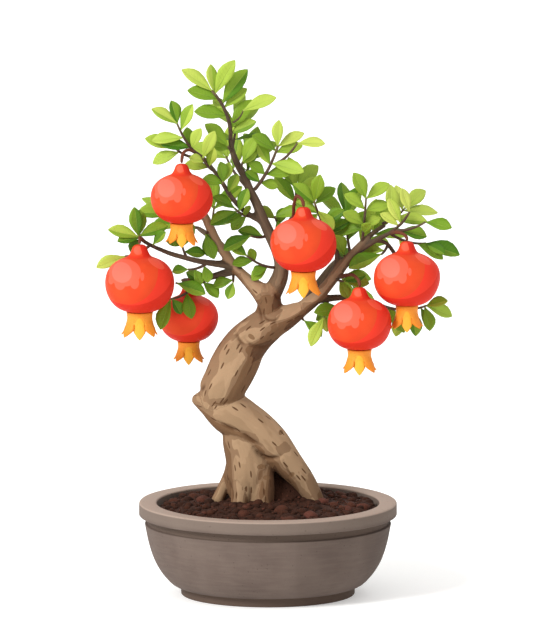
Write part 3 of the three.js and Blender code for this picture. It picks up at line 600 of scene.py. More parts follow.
# corners to round: radius, height, how far the rounding reaches
BOWL_CORNERS = [
    (RIM_RADIUS, RIM_TOP, 1.5),
    (MOUTH_RADIUS, RIM_TOP, 1.2),
    (RIM_RADIUS, LIP_FOOT, 1.0),
    (NECK_RADIUS, LIP_FOOT, 0.6),
    (SHOULDER_RADIUS, NECK_FOOT, 0.7),
    (NECK_RADIUS, NECK_FOOT + NECK_SLOPE, 0.4),
    (FOOT_RADIUS, FOOT_HEIGHT, 0.8),
    (FOOT_RADIUS, 0, 0.9),
    (FOOT_INSIDE, 0, 0.9),
]
BODY_STEP, INSIDE_STEP = 2.5, 4
UNEVENNESS = 0.22
WAVES_PER_METRE = 22
SAME_PLACE = 0.02


def curve_of(points, step):
    """The outline's points joined by a smooth line, as pairs."""
    rows = smooth_line([(r, 0, z) for r, z in points], step)
    return [(row[0], row[2]) for row in rows]


def make_bowl():
    bm = bmesh.new()
    outline = [
        (DRAIN_RADIUS, FOOT_RECESS),
        (FOOT_INSIDE, FOOT_RECESS),
        (FOOT_INSIDE, 0),
        (FOOT_RADIUS, 0),
        (FOOT_RADIUS, FOOT_HEIGHT),
        *curve_of(BOWL_BODY, BODY_STEP),
        (NECK_RADIUS, NECK_FOOT + NECK_SLOPE),
        (NECK_RADIUS, LIP_FOOT),
        (RIM_RADIUS, LIP_FOOT),
        (RIM_RADIUS, RIM_TOP),
        (MOUTH_RADIUS, RIM_TOP),
        *curve_of(BOWL_INSIDE, INSIDE_STEP),
        (DRAIN_RADIUS, FLOOR_TOP),
    ]
    turned(bm, outline, BOWL_STEPS, closed=True)

    def on_ring(vert, radius, height):
        out, up = math.hypot(*vert.co.xy) / MM, vert.co.z / MM
        return abs(out - radius) < SAME_PLACE and abs(up - height) < SAME_PLACE

    for radius, height, reach in BOWL_CORNERS:
        edges = [e for e in bm.edges if all(on_ring(v, radius, height) for v in e.verts)]
        rounding = {"offset": reach * MM, "segments": 4, "affect": "EDGES", "profile": 0.5, "material": -1}
        bmesh.ops.bevel(bm, geom=edges, **rounding)
    bm.normal_update()
    for vert in bm.verts:
        if vert.co.z > MM:
            wave = noise.noise(vert.co * WAVES_PER_METRE) - 0.3
            vert.co += vert.normal * (UNEVENNESS * MM * wave)
    bmesh.ops.translate(bm, verts=bm.verts[:], vec=AXIS)
    piece("bowl", bm, "pot", ["pot"], stoneware())


# ---- soil ----

SOIL_RADIUS = 82
SOIL_STEPS = 150
SOIL_WALL = [(61.7, 12.3), (70.3, 17), (77.8, 31), (81.6, 50), (SOIL_RADIUS, 64)]
# heights of the mound at distances from the bowl's axis, and of the heap at shares of its reach
MOUND_OUTLINE = [(0, 74), (20, 73), (40, 71.5), (60, 69.5), (74, 67.5), (SOIL_RADIUS, 65.5)]
HEAP_OUTLINE = [(0, 97), (0.2, 92), (0.5, 82.5), (1, 66), (1.18, 60), (1.19, 0)]
HEAP_MIDDLE = (4, 12)
HEAP_REACH = (50, 33)
CLOD_COUNT = 20
CLOD_SIZES = (3.4, 6.4)
CLOD_DEPTH = 1.2
CLOD_FREE_SHARE = 0.22
CLOD_ROUGHNESS = 0.28
GAP = 0.3
SURFACE_HEIGHT = 66  # before the mound is raised from it
SURFACE_RINGS = 68
BUMPS_PER_METRE = (75, 330)  # coarse and fine ones
COARSE_HEIGHT, FINE_HEIGHT = 1.1, 0.5
SKIN_SINK = 0.4  # under the solid soil, so that only the bumps reach past it
# loose lumps and crumbs: how many, their radii, how round, and how far they gather at the wall
LOOSE = [(300, (1.5, 4.2), 2, 0.4), (1300, (0.5, 1.4), 1, 0.5)]


def clod_stream(seed):
    """The same stream of numbers from 0 to 1 that places the clods of the solid soil."""
    state = ((seed + 1) * 2654435761) & 0xFFFFFFFF
    while True:
        state = (state * 1664525 + 1013904223) & 0xFFFFFFFF
        yield state / 4294967296


def soil_height(x, y):
    """Height of the soil at a place: the mound, or the heap between the legs where that is higher."""
    away = math.hypot((x - HEAP_MIDDLE[0]) / HEAP_REACH[0], (y - HEAP_MIDDLE[1]) / HEAP_REACH[1])
    mound = np.interp(math.hypot(x, y), *zip(*MOUND_OUTLINE))
    heap = np.interp(away, *zip(*HEAP_OUTLINE))
    return float(max(mound, heap))


def clod(size, place, turn, flatness, tone, fineness):
    """One rounded lump. Its skin is pushed in and out so that no two are alike."""
    bm = bmesh.new()
    layer = bm.verts.layers.float.new("tone")
    middle = spot(*place)
    matrix = Matrix.Translation(middle) @ Matrix.Diagonal((1, 1, flatness, 1)) @ turn.to_matrix().to_4x4()
    bmesh.ops.create_icosphere(bm, subdivisions=fineness, radius=size * MM, matrix=matrix)
    for vert in bm.verts:
        rough = noise.noise(vert.co / (size * MM) * 1.1)
        vert.co += (vert.co - middle) * CLOD_ROUGHNESS * rough
        vert[layer] = tone
    return bm


def make_soil():
    bm = bmesh.new()
    layer = bm.verts.layers.float.new("tone")
    top = [(r, SURFACE_HEIGHT) for r in np.linspace(SOIL_RADIUS - 1, 0, SURFACE_RINGS)]
    turned(bm, [(0, FLOOR_TOP + GAP), *SOIL_WALL, *top], SOIL_STEPS)
    for vert in bm.verts:
        if vert.co.z > (SURFACE_HEIGHT - 1) * MM:
            coarse, fine = (noise.noise(vert.co * often) for often in BUMPS_PER_METRE)
            level = soil_height(vert.co.x / MM, vert.co.y / MM) - SKIN_SINK
            vert.co.z = (level + COARSE_HEIGHT * coarse + FINE_HEIGHT * fine) * MM
            vert[layer] = 0.3 + 0.2 * coarse + 0.1 * fine
    bmesh.ops.translate(bm, verts=bm.verts[:], vec=AXIS)

    parts = [bm]
    stream, tones = clod_stream(7), clod_stream(3)
    for _ in range(CLOD_COUNT):
        size = CLOD_SIZES[0] + (CLOD_SIZES[1] - CLOD_SIZES[0]) * next(stream)
        share = CLOD_FREE_SHARE + (1 - CLOD_FREE_SHARE) * next(stream)
        reach = (SOIL_RADIUS - size - 2 * GAP) * math.sqrt(share)
        angle = 2 * math.pi * next(stream)
        tip, roll = (2 * math.pi * next(stream) for _ in range(2))
        x, y = reach * math.cos(angle), reach * math.sin(angle)
        place = (x, y, soil_height(x, y) - CLOD_DEPTH)
        turn = Matrix.Rotation(tip, 3, "X").to_quaternion() @ Matrix.Rotation(roll, 3, "Y").to_quaternion()
        parts.append(clod(size, place, turn, 0.75, 0.45 + 0.5 * next(tones), 3))

    rng = random.Random(11)
    for count, sizes, fineness, edge_pull in LOOSE:
        for _ in range(count):
            size = rng.uniform(*sizes)
            reach = (SOIL_RADIUS - size - 2 * GAP) * rng.uniform(0.02, 1) ** edge_pull
            angle = rng.uniform(0, 2 * math.pi)
            x, y = reach * math.cos(angle), reach * math.sin(angle)
            place = (x, y, soil_height(x, y) + size * rng.uniform(-0.5, 0.1))
            spin = rng.uniform(0, 6.3)
            turn = Matrix.Rotation(spin, 3, Vector((rng.random(), 1, rng.random())).normalized())
            tone = rng.uniform(0.1, 0.5) + 0.4 * (rng.random() < 0.12)
            parts.append(clod(size, place, turn.to_quaternion(), 0.8, tone, fineness))
    piece("soil_bed", gathered(parts), "soil", ["soil"], planting_mix())


# ---- wood ----
# stations of each limb: x, y, z and the radius there

TRUNK_LIMBS = [
    # right leg, up into the knee
    [(40, -3, 50, 4.2), (37, -4, 66, 6.3), (28, -5, 84, 8.3), (16, -5, 99, 11), (0, -4, 116, 15),
     (-16.5, -4, 129.5, 16), (-31.5, -4, 140, 15.8), (-45, -4, 146, 10.5), (-52, -4, 147.6, 6.3),
     (-57, -4, 148.4, 2.2)],
    # knee, up to the fork
    [(-43, -5, 143.5, 9.5), (-38, -5, 150.5, 15.5), (-31, -4, 163, 17.2), (-23, -1, 178.5, 17.4),
     (-17.5, 1, 188, 16), (-9, 3, 197, 14.3), (1.5, 4, 204.5, 12.6), (12, 4, 208.5, 9.9),
     (24, 4, 214.5, 6.4)],
    # left leg
    [(-25, -3, 135.5, 8.2), (-20.5, -4, 119, 13.5), (-15.8, -4, 104.5, 15.8), (-13.6, -4, 91, 18),
     (-13.2, -4, 79, 16.6), (-13.8, -4, 68, 14.5), (-14, -4, 50, 11)],
    # the crotch where the boughs part
    [(-4.5, 3, 200, 11.6), (0, 4, 210.5, 9.8), (1.5, 4, 219.5, 8.9), (0, 4, 227, 9)],
]

ROOTS = [
    [(-24, 2, 103, 5.2), (-28.5, 0, 90, 4.9), (-34.5, -3, 78.5, 4.3), (-39, -5, 68, 4.6), (-43, -6, 54, 3.2)],
    [(-20, -9, 99, 7.5), (-20.5, -14, 84, 7.2), (-22, -18.5, 67, 6), (-23.5, -22, 54, 4)],
    [(-6, -8, 100, 8), (-3.5, -12.5, 86, 8.4), (-2.8, -16.5, 68, 7), (-2, -20, 54, 5)],
    [(-21, 8, 108, 7.5), (-25.5, 17, 89.5, 7.1), (-31, 26, 71, 6), (-34.5, 32, 55, 4.1)],
    [(4, 8, 111, 7.5), (10, 18, 94, 7.5), (14, 27, 75, 6.4), (17, 33, 57, 4.1)],
]

BOUGHS = [
    # right bough
    [(8, 4, 206, 9), (14.5, 4, 208, 7.6), (24, 4, 214.5, 5.8), (37, 3, 225, 4.7), (48.5, 2, 238.5, 4),
     (61, 0, 255, 3.4), (67.5, -1, 262.5, 2.9), (74, 1, 269.5, 2.1), (81, 5, 274.5, 1.7),
     (88, 8, 278.7, 1.6)],
    # left bough, ending behind the first fruit
    [(1.5, 4, 219, 7.9), (-4, 4, 227, 7.5), (-10, 4, 232.5, 5.8), (-16, 4, 238, 4.5), (-22.7, 3, 245, 3.8),
     (-30.5, 3, 255.2, 3.5), (-38.6, 4, 267, 3.4), (-45.4, 5, 281.5, 3.2), (-51, 7, 293, 2.2)],
]
LEADER = [
    (0, 4, 221, 7.1), (5, 5, 231, 6.8), (9, 5, 240, 6), (10, 5, 249, 5.2), (7.5, 5, 259, 4.8),
    (2, 5, 270.5, 4.3), (-4, 5, 284, 3.8), (-9, 5, 296.5, 3.4), (-14, 4, 306.5, 3.1),
    (-16.5, 4, 313.5, 2.8), (-22.5, 4, 324.5, 2.5), (-27, 3, 336.5, 2.1), (-28, 3, 345, 1.8),
]

BRANCHES = [
    # from the leader up to the left
    [(-1, 5, 277, 2.6), (-6, 5, 282.5, 2.4), (-13.5, 5, 286.5, 2.1), (-21, 3, 293, 1.9),
     (-28.5, 0, 302.5, 1.8), (-34.5, -4, 313, 1.7), (-41, -8, 323, 1.6), (-47, -12, 331, 1.5),
     (-55, -15, 337.5, 1.5)],
    # low on the left, towards the third fruit
    [(-22.5, 3, 247, 3.6), (-32, 2, 249.3, 3), (-42, 0, 250.8, 2.4), (-52.5, -2, 252.8, 2.1),
     (-63, -4, 255.8, 1.9), (-73, -6, 259, 1.8), (-82.5, -8, 263.2, 1.6), (-89, -9, 266.5, 1.5),
     (-93, -10, 269, 1.5)],
    # lowest on the left, towards the sixth fruit
    [(-24, 5, 245, 3.4), (-34.5, 7, 241.5, 2.9), (-43.5, 9, 238.8, 2.3), (-51, 12, 236.5, 2),
     (-58, 17, 235.5, 1.8), (-65, 21, 234.5, 1.6)],
    # right, outer
    [(62, 0, 256.5, 2.6), (73, -1, 263.5, 2.2), (82.5, -2, 269.5, 1.9), (91, -3, 274, 1.5),
     (97, -4, 279, 1.3)],
    # right, low
    [(34.5, 4, 222.5, 3.4), (45, 7, 223, 2.8), (55, 9, 223.5, 2.3), (64, 10, 222, 2), (73, 10, 220, 1.7),
     (82, 9, 218, 1.6), (88.5, 8, 216.5, 1.5)],
    # right, turning down behind the fourth fruit
    [(81, -1, 268.5, 1.7), (88, 3, 266, 1.6), (93, 7, 260, 1.6), (98, 10, 250.5, 1.5), (102, 11, 243, 1.5)],
    # off the right bough, up behind the second fruit
    [(46, 3, 236, 3.2), (51, 4, 247, 2.5), (52, 4, 255, 2), (51, 4, 262, 1.7)],
    # behind, left
    [(-27, 5, 250.5, 3), (-34.5, 22, 260.5, 2.6), (-44, 36, 266, 2.2), (-52.5, 46, 270.5, 1.8)],
    # behind, centre
    [(5, 6, 264, 3.4), (12, 24, 271, 2.8), (17, 40, 276.5, 2.3), (21, 52, 281, 1.9)],
    # behind, right
    [(27, 5, 217.5, 4.1), (37.5, 24, 230, 3.4), (49.5, 42, 243, 2.7), (60, 54, 251, 2)],
    # behind, top
    [(-10, 6, 299, 2.6), (-14, 20, 303.5, 2.2), (-18, 31, 307, 1.9), (-22, 40, 310, 1.7)],
]

# where each fruit hangs, its widest radius, and the stations of its stalk
FRUITS = [
    ((-64.5, -26, 303.5), 23.2, [(-55, -15, 337.5, 1.6), (-59, -19, 339.5, 1.4), (-63, -24, 338.5, 1.4)]),
    ((26.5, -32, 269.5), 25.1, [(4.5, 3, 265.5, 2), (12, -4, 276, 1.6), (18.5, -12, 287, 1.5),
                                (19.5, -20, 299, 1.4), (22, -27, 306, 1.4)]),
    ((-96, -28, 239), 26.4, [(-93, -10, 269, 1.6), (-95, -17, 272.5, 1.4), (-96, -24, 273.5, 1.4)]),
    ((104, -22, 242), 25.1, [(92, -4, 274.5, 1.8), (97, -12, 276, 1.5), (102, -20, 275.5, 1.4)]),
    ((68.5, -31, 209.5), 24.3, [(54, -1, 240.5, 1.9), (60, -10, 243.5, 1.5), (65, -23, 244.5, 1.4)]),
    ((-59.5, 12, 207), 22.1, [(-49, 11, 237.5, 1.9), (-55, 11.5, 240, 1.5)]),
]
NECK_OVER_MIDDLE = 1.14
STALK_DROP = 3
STALK_RADIUS = 1.4

# Folds and gashes: points as x and z, which side they are on (-1 front, 1 back), width and depth
CREASES = [
    ([(-37, 133), (-29, 128.5), (-20, 125.2)], -1, 1.5, 2.2),
    ([(-19.5, 125.4), (-13, 119.5), (-5.3, 114.8)], -1, 1.6, 2.6),
    ([(-10.5, 113.5), (-6, 108.6), (-2, 105.8), (4.5, 105.4), (9.5, 106.8)], -1, 1.5, 2.4),
    ([(11.3, 104), (14.5, 97), (19.5, 88.5)], -1, 0.9, 1.2),
    ([(-24, 200.5), (-21.5, 195), (-16, 191.3)], -1, 1.3, 1.8),
    ([(-29.5, 88), (-27.5, 80), (-28, 71)], -1, 1.2, 2.0),
    ([(-13.6, 86), (-13, 77), (-13.5, 69)], -1, 1.0, 1.2),
    ([(-51, 154.5), (-49, 158), (-47.5, 161.5)], -1, 1.4, 0.5),
    ([(-13, 224), (-6, 214), (-3.5, 206)], -1, 1.3, 1.2),
    ([(4.5, 231), (7, 226), (12, 222)], -1, 1.3, 1.3),
    ([(-5, 217), (-1, 209.8), (5, 208.6), (10.5, 215)], -1, 1.1, 1.0),
    ([(-16.5, 195), (-12, 191), (-5, 188.6), (3, 189.5)], -1, 1.6, 1.7),
    ([(-33, 137), (-22, 128), (-8, 121), (2, 108)], 1, 1.7, 2.4),
    ([(-40, 168), (-30, 172), (-20, 170), (-10, 176)], 1, 1.5, 1.6),
    ([(-22, 108), (-18, 92), (-20, 76)], 1, 1.5, 2.0),
    ([(2, 104), (12, 92), (16, 78)], 1, 1.4, 1.8),
    ([(-20, 196), (-10, 190), (0, 194)], 1, 1.5, 1.8),
]

# where painted shade darkens the bark (a negative amount lightens it): middle as x and z, half width, half
# height, and by how much
SHADES = [
    (-1, 86, 9, 22, 0.45),
    (5, 84, 7, 20, 0.4),
    (-30, 96, 5, 24, 0.25),
    (-1, 208, 17, 14, 0.25),
    (-6, 187, 14, 9, 0.35),
    (3, 224, 12, 13, 0.6),
    (22, 205, 15, 8, 0.2),
    (18, 103, 10, 9, -0.3),
    (-20, 190, 8, 8, 0.25),
    (33, 217, 10, 6, 0.4),
    (-16, 122, 12, 7, 0.25),
]

LIMB_STEP = 2.2
THICK_LIMB = 4
LIMB_SIDES = (12, 20)  # of thin limbs and thick ones
VOXEL = 0.87
BATCH = 4000
THIN_SWELL = 0.25  # what smoothing takes off thin wood
FULL_GIRTH = 12.0
SMOOTHINGS = 7
GIRTH_SMOOTHINGS = 14
FOLD_SMOOTHINGS = 5
TONE_SMOOTHINGS = 4
LIMBS_APART = 500  # so that no two limbs share their marks
# folds of the bark and ripples on them: how wide, how long and how high. They are full on limbs of the second
# radius, and least under the first
FOLDS = [(9, 48, 0.9), (3.4, 15, 0.38)]
FOLDED_FROM, FOLDED_AT = 3, 11
LEAST_FOLDED = 0.06


def stalk_line(fruit):
    (x, y, z), radius, stations = fruit
    end = z + NECK_OVER_MIDDLE * radius + GAP
    return [*stations, (x, y, end + STALK_DROP, STALK_RADIUS), (x, y, end, STALK_RADIUS)]


def wood_lines():
    """Every limb as rows of x, y, z, radius, whether it is a stalk, and how dark its bark is."""
    lines = []
    for group, (first, last) in (
        (TRUNK_LIMBS, (0, 0)),
        (ROOTS, (0, 0)),
        (BOUGHS[:1], (0, 0.8)),
        (BOUGHS[1:], (0, 0.15)),
        ([LEADER], (0.5, 1)),
        (BRANCHES, (0.9, 1)),
    ):
        for stations in group:
            shades = np.linspace(first, last, len(stations))
            lines.append([(*row, 0, shade) for row, shade in zip(stations, shades)])
    lines += [[(*row, min(i, 1), 1) for i, row in enumerate(stalk_line(fruit))] for fruit in FRUITS]
    return [smooth_line(line, LIMB_STEP) for line in lines]


def joined_limbs(lines):
    """All limbs drawn as closed tubes and joined in one skin."""
    bm = gathered(limb(line, LIMB_SIDES[line[:, 3].max() > THICK_LIMB], THIN_SWELL) for line in lines)
    blank = placed("limbs", mesh_from(bm, "limbs"))
    remesh = blank.modifiers.new("join", "REMESH")
    remesh.mode = "VOXEL"
    remesh.voxel_size = VOXEL * MM
    skin = bpy.data.meshes.new_from_object(blank.evaluated_get(bpy.context.evaluated_depsgraph_get()))
    bpy.data.objects.remove(blank)
    return skin


def nearest_rows(points, lines):
    """For every point, the row of the limb that it lies on, found by distance in radii."""
    rows = np.concatenate(lines)
    best = np.zeros(len(points), int)
    for start in range(0, len(points), BATCH):
        part = slice(start, start + BATCH)
        away = np.linalg.norm(points[part, None, :] - rows[None, :, :3], axis=2)
        best[part] = (away / rows[:, 3]).argmin(axis=1)
    return rows, best


def evened(values, edges, times):
    """Values of the vertices, each mixed with its neighbours' so many times."""
    here = edges.ravel()
    there = edges[:, ::-1].ravel()
    count = np.maximum(np.bincount(here, minlength=len(values)), 1)
    for _ in range(times):
        columns = [np.bincount(here, column[there], len(values)) / count for column in values.T]
        values = 0.5 * values + 0.5 * np.stack(columns, axis=1)
    return values


def crease_depths(points, normals):
    """How far each point is pushed in by the folds and gashes, and how much painted shade darkens them."""
    depth = np.zeros(len(points))
    shade = np.zeros(len(points))
    for stations, side, width, deepest in CREASES:
        line = smooth_line([(x, 0, z) for x, z in stations], 1.0)
        away = np.full(len(points), np.inf)
        near = np.zeros(len(points), int)
        for i, row in enumerate(line):
            distance = np.hypot(points[:, 0] - row[0], points[:, 2] - row[2])
            near[distance < away] = i
            away = np.minimum(away, distance)
        taper = np.sin(np.pi * np.clip(near / (len(line) - 1), 0.06, 0.94)) ** 0.5
        facing = np.clip(normals[:, 1] * side * 2.5, 0, 1)
        facing *= (points[:, 1] * side > -4) * 1.0
        press = np.exp(-((away / width) ** 2)) * taper * facing
        depth = np.maximum(depth, press * deepest)
        shade = np.maximum(shade, np.clip(press * 1.3 - 0.3, 0, 1))
    return depth, shade


def fold_heights(grain):
    """How far the long folds and short ripples of the bark stand out at places on the limbs."""
    heights = np.zeros(len(grain))
    for wide, long, high in FOLDS:
        places = (grain / (wide, wide, long)).tolist()
        heights += [high * noise.noise(place) for place in places]
    return heights


def bark_shade(points, normals):
    """How much painted shade darkens the bark: under the limbs, to the right, a little to the left, and where
    it is listed.
    """
    east, up = normals[:, 0], normals[:, 2]
    lean = np.where(up > 0, 1.1, 0.5)
    shade = np.maximum.reduce([np.minimum(0.95 * east - lean * up, 0.7), -up, -0.45 * east])
    for x, z, wide, high, darker in SHADES:
        away = np.hypot((points[:, 0] - x) / wide, (points[:, 2] - z) / high)
        shade += darker * np.clip(1.6 - 1.6 * away, 0, 1)
    return shade


def angle_round(offset, ways):
    """The angle round its limb at which each point lies, 0 in front."""
    beside = np.cross(ways, (0, -1, 0))
    beside /= np.maximum(np.linalg.norm(beside, axis=1), 0.2)[:, None]
    ahead = np.cross(ways, beside)
    return np.arctan2((offset * beside).sum(axis=1), -(offset * ahead).sum(axis=1))


def read_vertices(mesh, what):
    flat = np.zeros(len(mesh.vertices) * 3)
    mesh.vertices.foreach_get(what, flat)
    return flat.reshape(-1, 3)


def move_vertices(mesh, points):
    """Puts a mesh's vertices at places in millimetres from the bowl's axis."""
    mesh.vertices.foreach_set("co", (points * MM + np.array(AXIS)).ravel())
    mesh.update()


def make_wood():
    lines = wood_lines()
    mesh = joined_limbs(lines)
    edges = np.array([edge.vertices[:] for edge in mesh.edges])
    points = evened((read_vertices(mesh, "co") - np.array(AXIS)) / MM, edges, SMOOTHINGS)
    move_vertices(mesh, points)
    normals = read_vertices(mesh, "normal")

    rows, best = nearest_rows(points, lines)
    offset = points - rows[best, :3]
    turns = [turn.to_matrix() for line in lines for turn in carried_frames(line)]
    axes = np.array([[turn.col[k] for k in range(3)] for turn in turns])[best]
    gone = np.concatenate([distances(line) + LIMBS_APART * i for i, line in enumerate(lines)])
    grain = np.einsum("nij,nj->ni", axes, offset)
    grain[:, 2] += gone[best]
    radius = rows[best, 3]
    even_radius = evened(radius[:, None], edges, GIRTH_SMOOTHINGS)[:, 0]

    folds = evened(fold_heights(grain)[:, None], edges, FOLD_SMOOTHINGS)[:, 0]
    depth, crease_shade = crease_depths(points, normals)
    folds *= np.clip((radius - FOLDED_FROM) / (FOLDED_AT - FOLDED_FROM), LEAST_FOLDED, 1)
    moved = points + normals * (folds - depth)[:, None]
    move_vertices(mesh, evened(moved, edges, 1))

    stalk, dark = evened(rows[best, 4:6], edges, TONE_SMOOTHINGS).T
    girth = np.clip(even_radius / FULL_GIRTH, 0, 1)
    ways = np.concatenate([tangents(line) for line in lines])[best]
    arc = even_radius * angle_round(offset, ways)
    for name, columns in (
        ("grain", grain),
        ("girth_crease_shade_stalk", np.stack([girth, crease_shade, stalk], axis=1)),
        ("tone_shade_arc", np.stack([dark, bark_shade(points, normals), arc], axis=1)),
    ):
        made = mesh.attributes.new(name, "FLOAT_VECTOR", "POINT")
        made.data.foreach_set("vector", columns.astype(np.float32).ravel())
    mesh.update()
    mesh.name = "tree_wood"
    piece("tree_wood", mesh, "wood", ["wood"], bark())


# ---- fruit ----

# radii and heights of a fruit in its own radii, from the flat base up over the neck
FRUIT_OUTLINE = [
    (0, -0.775), (0.28, -0.775), (0.4, -0.757), (0.62, -0.665), (0.85, -0.44), (0.965, -0.18), (0.99, 0.1),
    (0.925, 0.36), (0.77, 0.57), (0.58, 0.7), (0.43, 0.765), (0.335, 0.81), (0.285, 0.87), (0.245, 0.95),
    (0.215, 1.03), (0.188, 1.09), (0.13, 1.132), (0, 1.14),
]
FRUIT_STEPS = 60
SHADED_FRUIT = 6  # hangs behind the third; its rind has no painted light patch and gets painted light on its upper part
FACETS = 6
FACET_DEPTH = 0.012
DENT_DEPTH = 0.02
TUBE_RADIUS = 0.345
TUBE_LENGTH = 0.36
BASE_UNDER_MIDDLE = 0.775
LOBES = 8
LOBE_LENGTH = 0.54
LOBE_WIDTH = 0.32
LOBE_FLARE = 0.14
LOBE_CURL = 0.26
# how far a lobe leans aside, how long it is and how much it curls: ranges, and what the one in front has
LOBE_RANGES = [(-0.12, 0.12), (0.86, 0.98), (0.92, 1.06)]
FRONT_LOBE = (0, 1.06, 0.55)
LOBE_CURLS = {1: 1.3, 2: 0.72, 6: 0.72, 7: 1.3}  # against the others
SLIT_SHARE = 0.46  # down the crown, where its lobes part
TONGUES = {0: 1, 4: 0.7}  # which lobes are yellow, and how much
DULL_TONGUE = {1: 0.35}  # the first fruit's, against the others
CALYX_WALL = 0.9
LOBE_ROWS = 14
ROOF_DEPTH = 2.4
ROOF_THICKNESS = 1.6


def make_fruit(number, middle, radius, paint):
    bm = bmesh.new()
    rind_layer = bm.verts.layers.float_vector.new("rind")
    outline = curve_of(FRUIT_OUTLINE, 0.055)
    turned(bm, [(max(r, 0) * radius, z * radius) for r, z in outline], FRUIT_STEPS)
    for vert in bm.verts:
        share = vert.co / (radius * MM)
        vert[rind_layer] = share
        angle = math.atan2(share.y, share.x)
        belly = max(0, 1 - abs(share.z)) * math.hypot(share.x, share.y)
        ridges = FACET_DEPTH * math.cos(FACETS * angle + number) * belly
        dents = DENT_DEPTH * noise.noise(share * 1.6 + Vector((number * 7, 0, 0)))
        vert.co.xy *= 1 + ridges + dents
        vert.co.z *= 1 + 0.5 * dents * belly
    bmesh.ops.translate(bm, verts=bm.verts[:], vec=spot(*middle))
    piece(f"fruit_{number}_rind", bm, "fruit", [f"fruit_{number}"], paint)


def lobe_path(share, radius):
    """Radius and height of a lobe's middle line, from the top of the tube (0) to its tip (1)."""
    tube = TUBE_RADIUS * radius
    start = TUBE_LENGTH * radius / 2
    length = LOBE_LENGTH * radius
    drop = share * (start + length)
    t = max(0.0, (drop - start) / length)
    waist = 0.02 * radius * math.sin(math.pi * min(1, drop / (2 * start)))
    return tube - waist + (LOBE_FLARE * 0.9 + LOBE_CURL) * length * t * t, -drop


def make_crown(number, middle, radius, paint):
    bm = bmesh.new()
    petal_layer = bm.verts.layers.float_vector.new("petal")
    rng = random.Random(number)
    tube = TUBE_RADIUS * radius
    length = LOBE_LENGTH * radius
    half_sector = math.pi / LOBES
    for lobe in range(LOBES):
        turn = -math.pi / 2 + 2 * half_sector * lobe
        outward = Vector((math.cos(turn), math.sin(turn), 0))
        side = Vector((-math.sin(turn), math.cos(turn), 0))
        yellow = TONGUES.get(lobe, 0) * DULL_TONGUE.get(number, 1)
        ranges = (rng.uniform(*ends) for ends in LOBE_RANGES)
        lean, reach, curl = ranges if lobe else FRONT_LOBE
        curl *= LOBE_CURLS.get(lobe, 1)
        verts = bmesh.ops.create_grid(bm, x_segments=6, y_segments=LOBE_ROWS, size=0.5)["verts"]
        for vert in verts:
            beside, down = 2 * vert.co.x, vert.co.y + 0.5
            ring, height = lobe_path(down, radius)
            vert[petal_layer] = (beside, down, yellow)
            if down <= SLIT_SHARE:
                angle = turn + beside * half_sector
                vert.co = Vector((math.cos(angle), math.sin(angle), 0)) * ring + Vector((0, 0, height))
                continue
            ring = tube + (ring - tube) * curl
            free = (down - SLIT_SHARE) / (1 - SLIT_SHARE)
            seam = ring * math.sin(half_sector)
            belly = LOBE_WIDTH / 2 * radius * (0.84 + 0.3 * math.sin(math.pi * min(1, free * 1.2)))
            width = (seam + (belly - seam) * min(1, free * 3)) * (1 - free**2.8) ** 0.7
            offset = beside * width
            inward = offset * offset / (2 * ring) * (1 - 0.55 * free)
            point = outward * (ring - inward) + side * (offset + lean * length * free * free)
            vert.co = point + Vector((0, 0, height * (1 + (reach - 1) * free)))
    for vert in bm.verts:
        vert.co *= MM
    bmesh.ops.remove_doubles(bm, verts=bm.verts[:], dist=0.02 * MM)
    bmesh.ops.recalc_face_normals(bm, faces=bm.faces[:])
    bmesh.ops.solidify(bm, geom=bm.faces[:], thickness=CALYX_WALL * MM)
    roof = Matrix.Translation((0, 0, -ROOF_DEPTH * MM)) @ Matrix.Diagonal((tube - 0.6, tube - 0.6, 1, 1))
    size = {"segments": 24, "radius1": MM, "radius2": MM, "depth": ROOF_THICKNESS * MM}
    for vert in bmesh.ops.create_cone(bm, cap_ends=True, matrix=roof, **size)["verts"]:
        vert[petal_layer] = (0.5, 0.02, 0)
    x, y, z = middle
    bmesh.ops.translate(bm, verts=bm.verts[:], vec=spot(x, y, z - BASE_UNDER_MIDDLE * radius - 0.1))
    piece(f"fruit_{number}_crown", bm, "crown", [f"crown_{number}"], paint)


# ---- leafy shoots ----
# name: start on the wood, tip, and how light its leaves are, from 0 deep green to 1 pale, for their age and
# as painted shade. Then, for some, the tones of leaves that differ, by the way they point in degrees from
# straight up, and how far the shoot's middle stands off a straight line

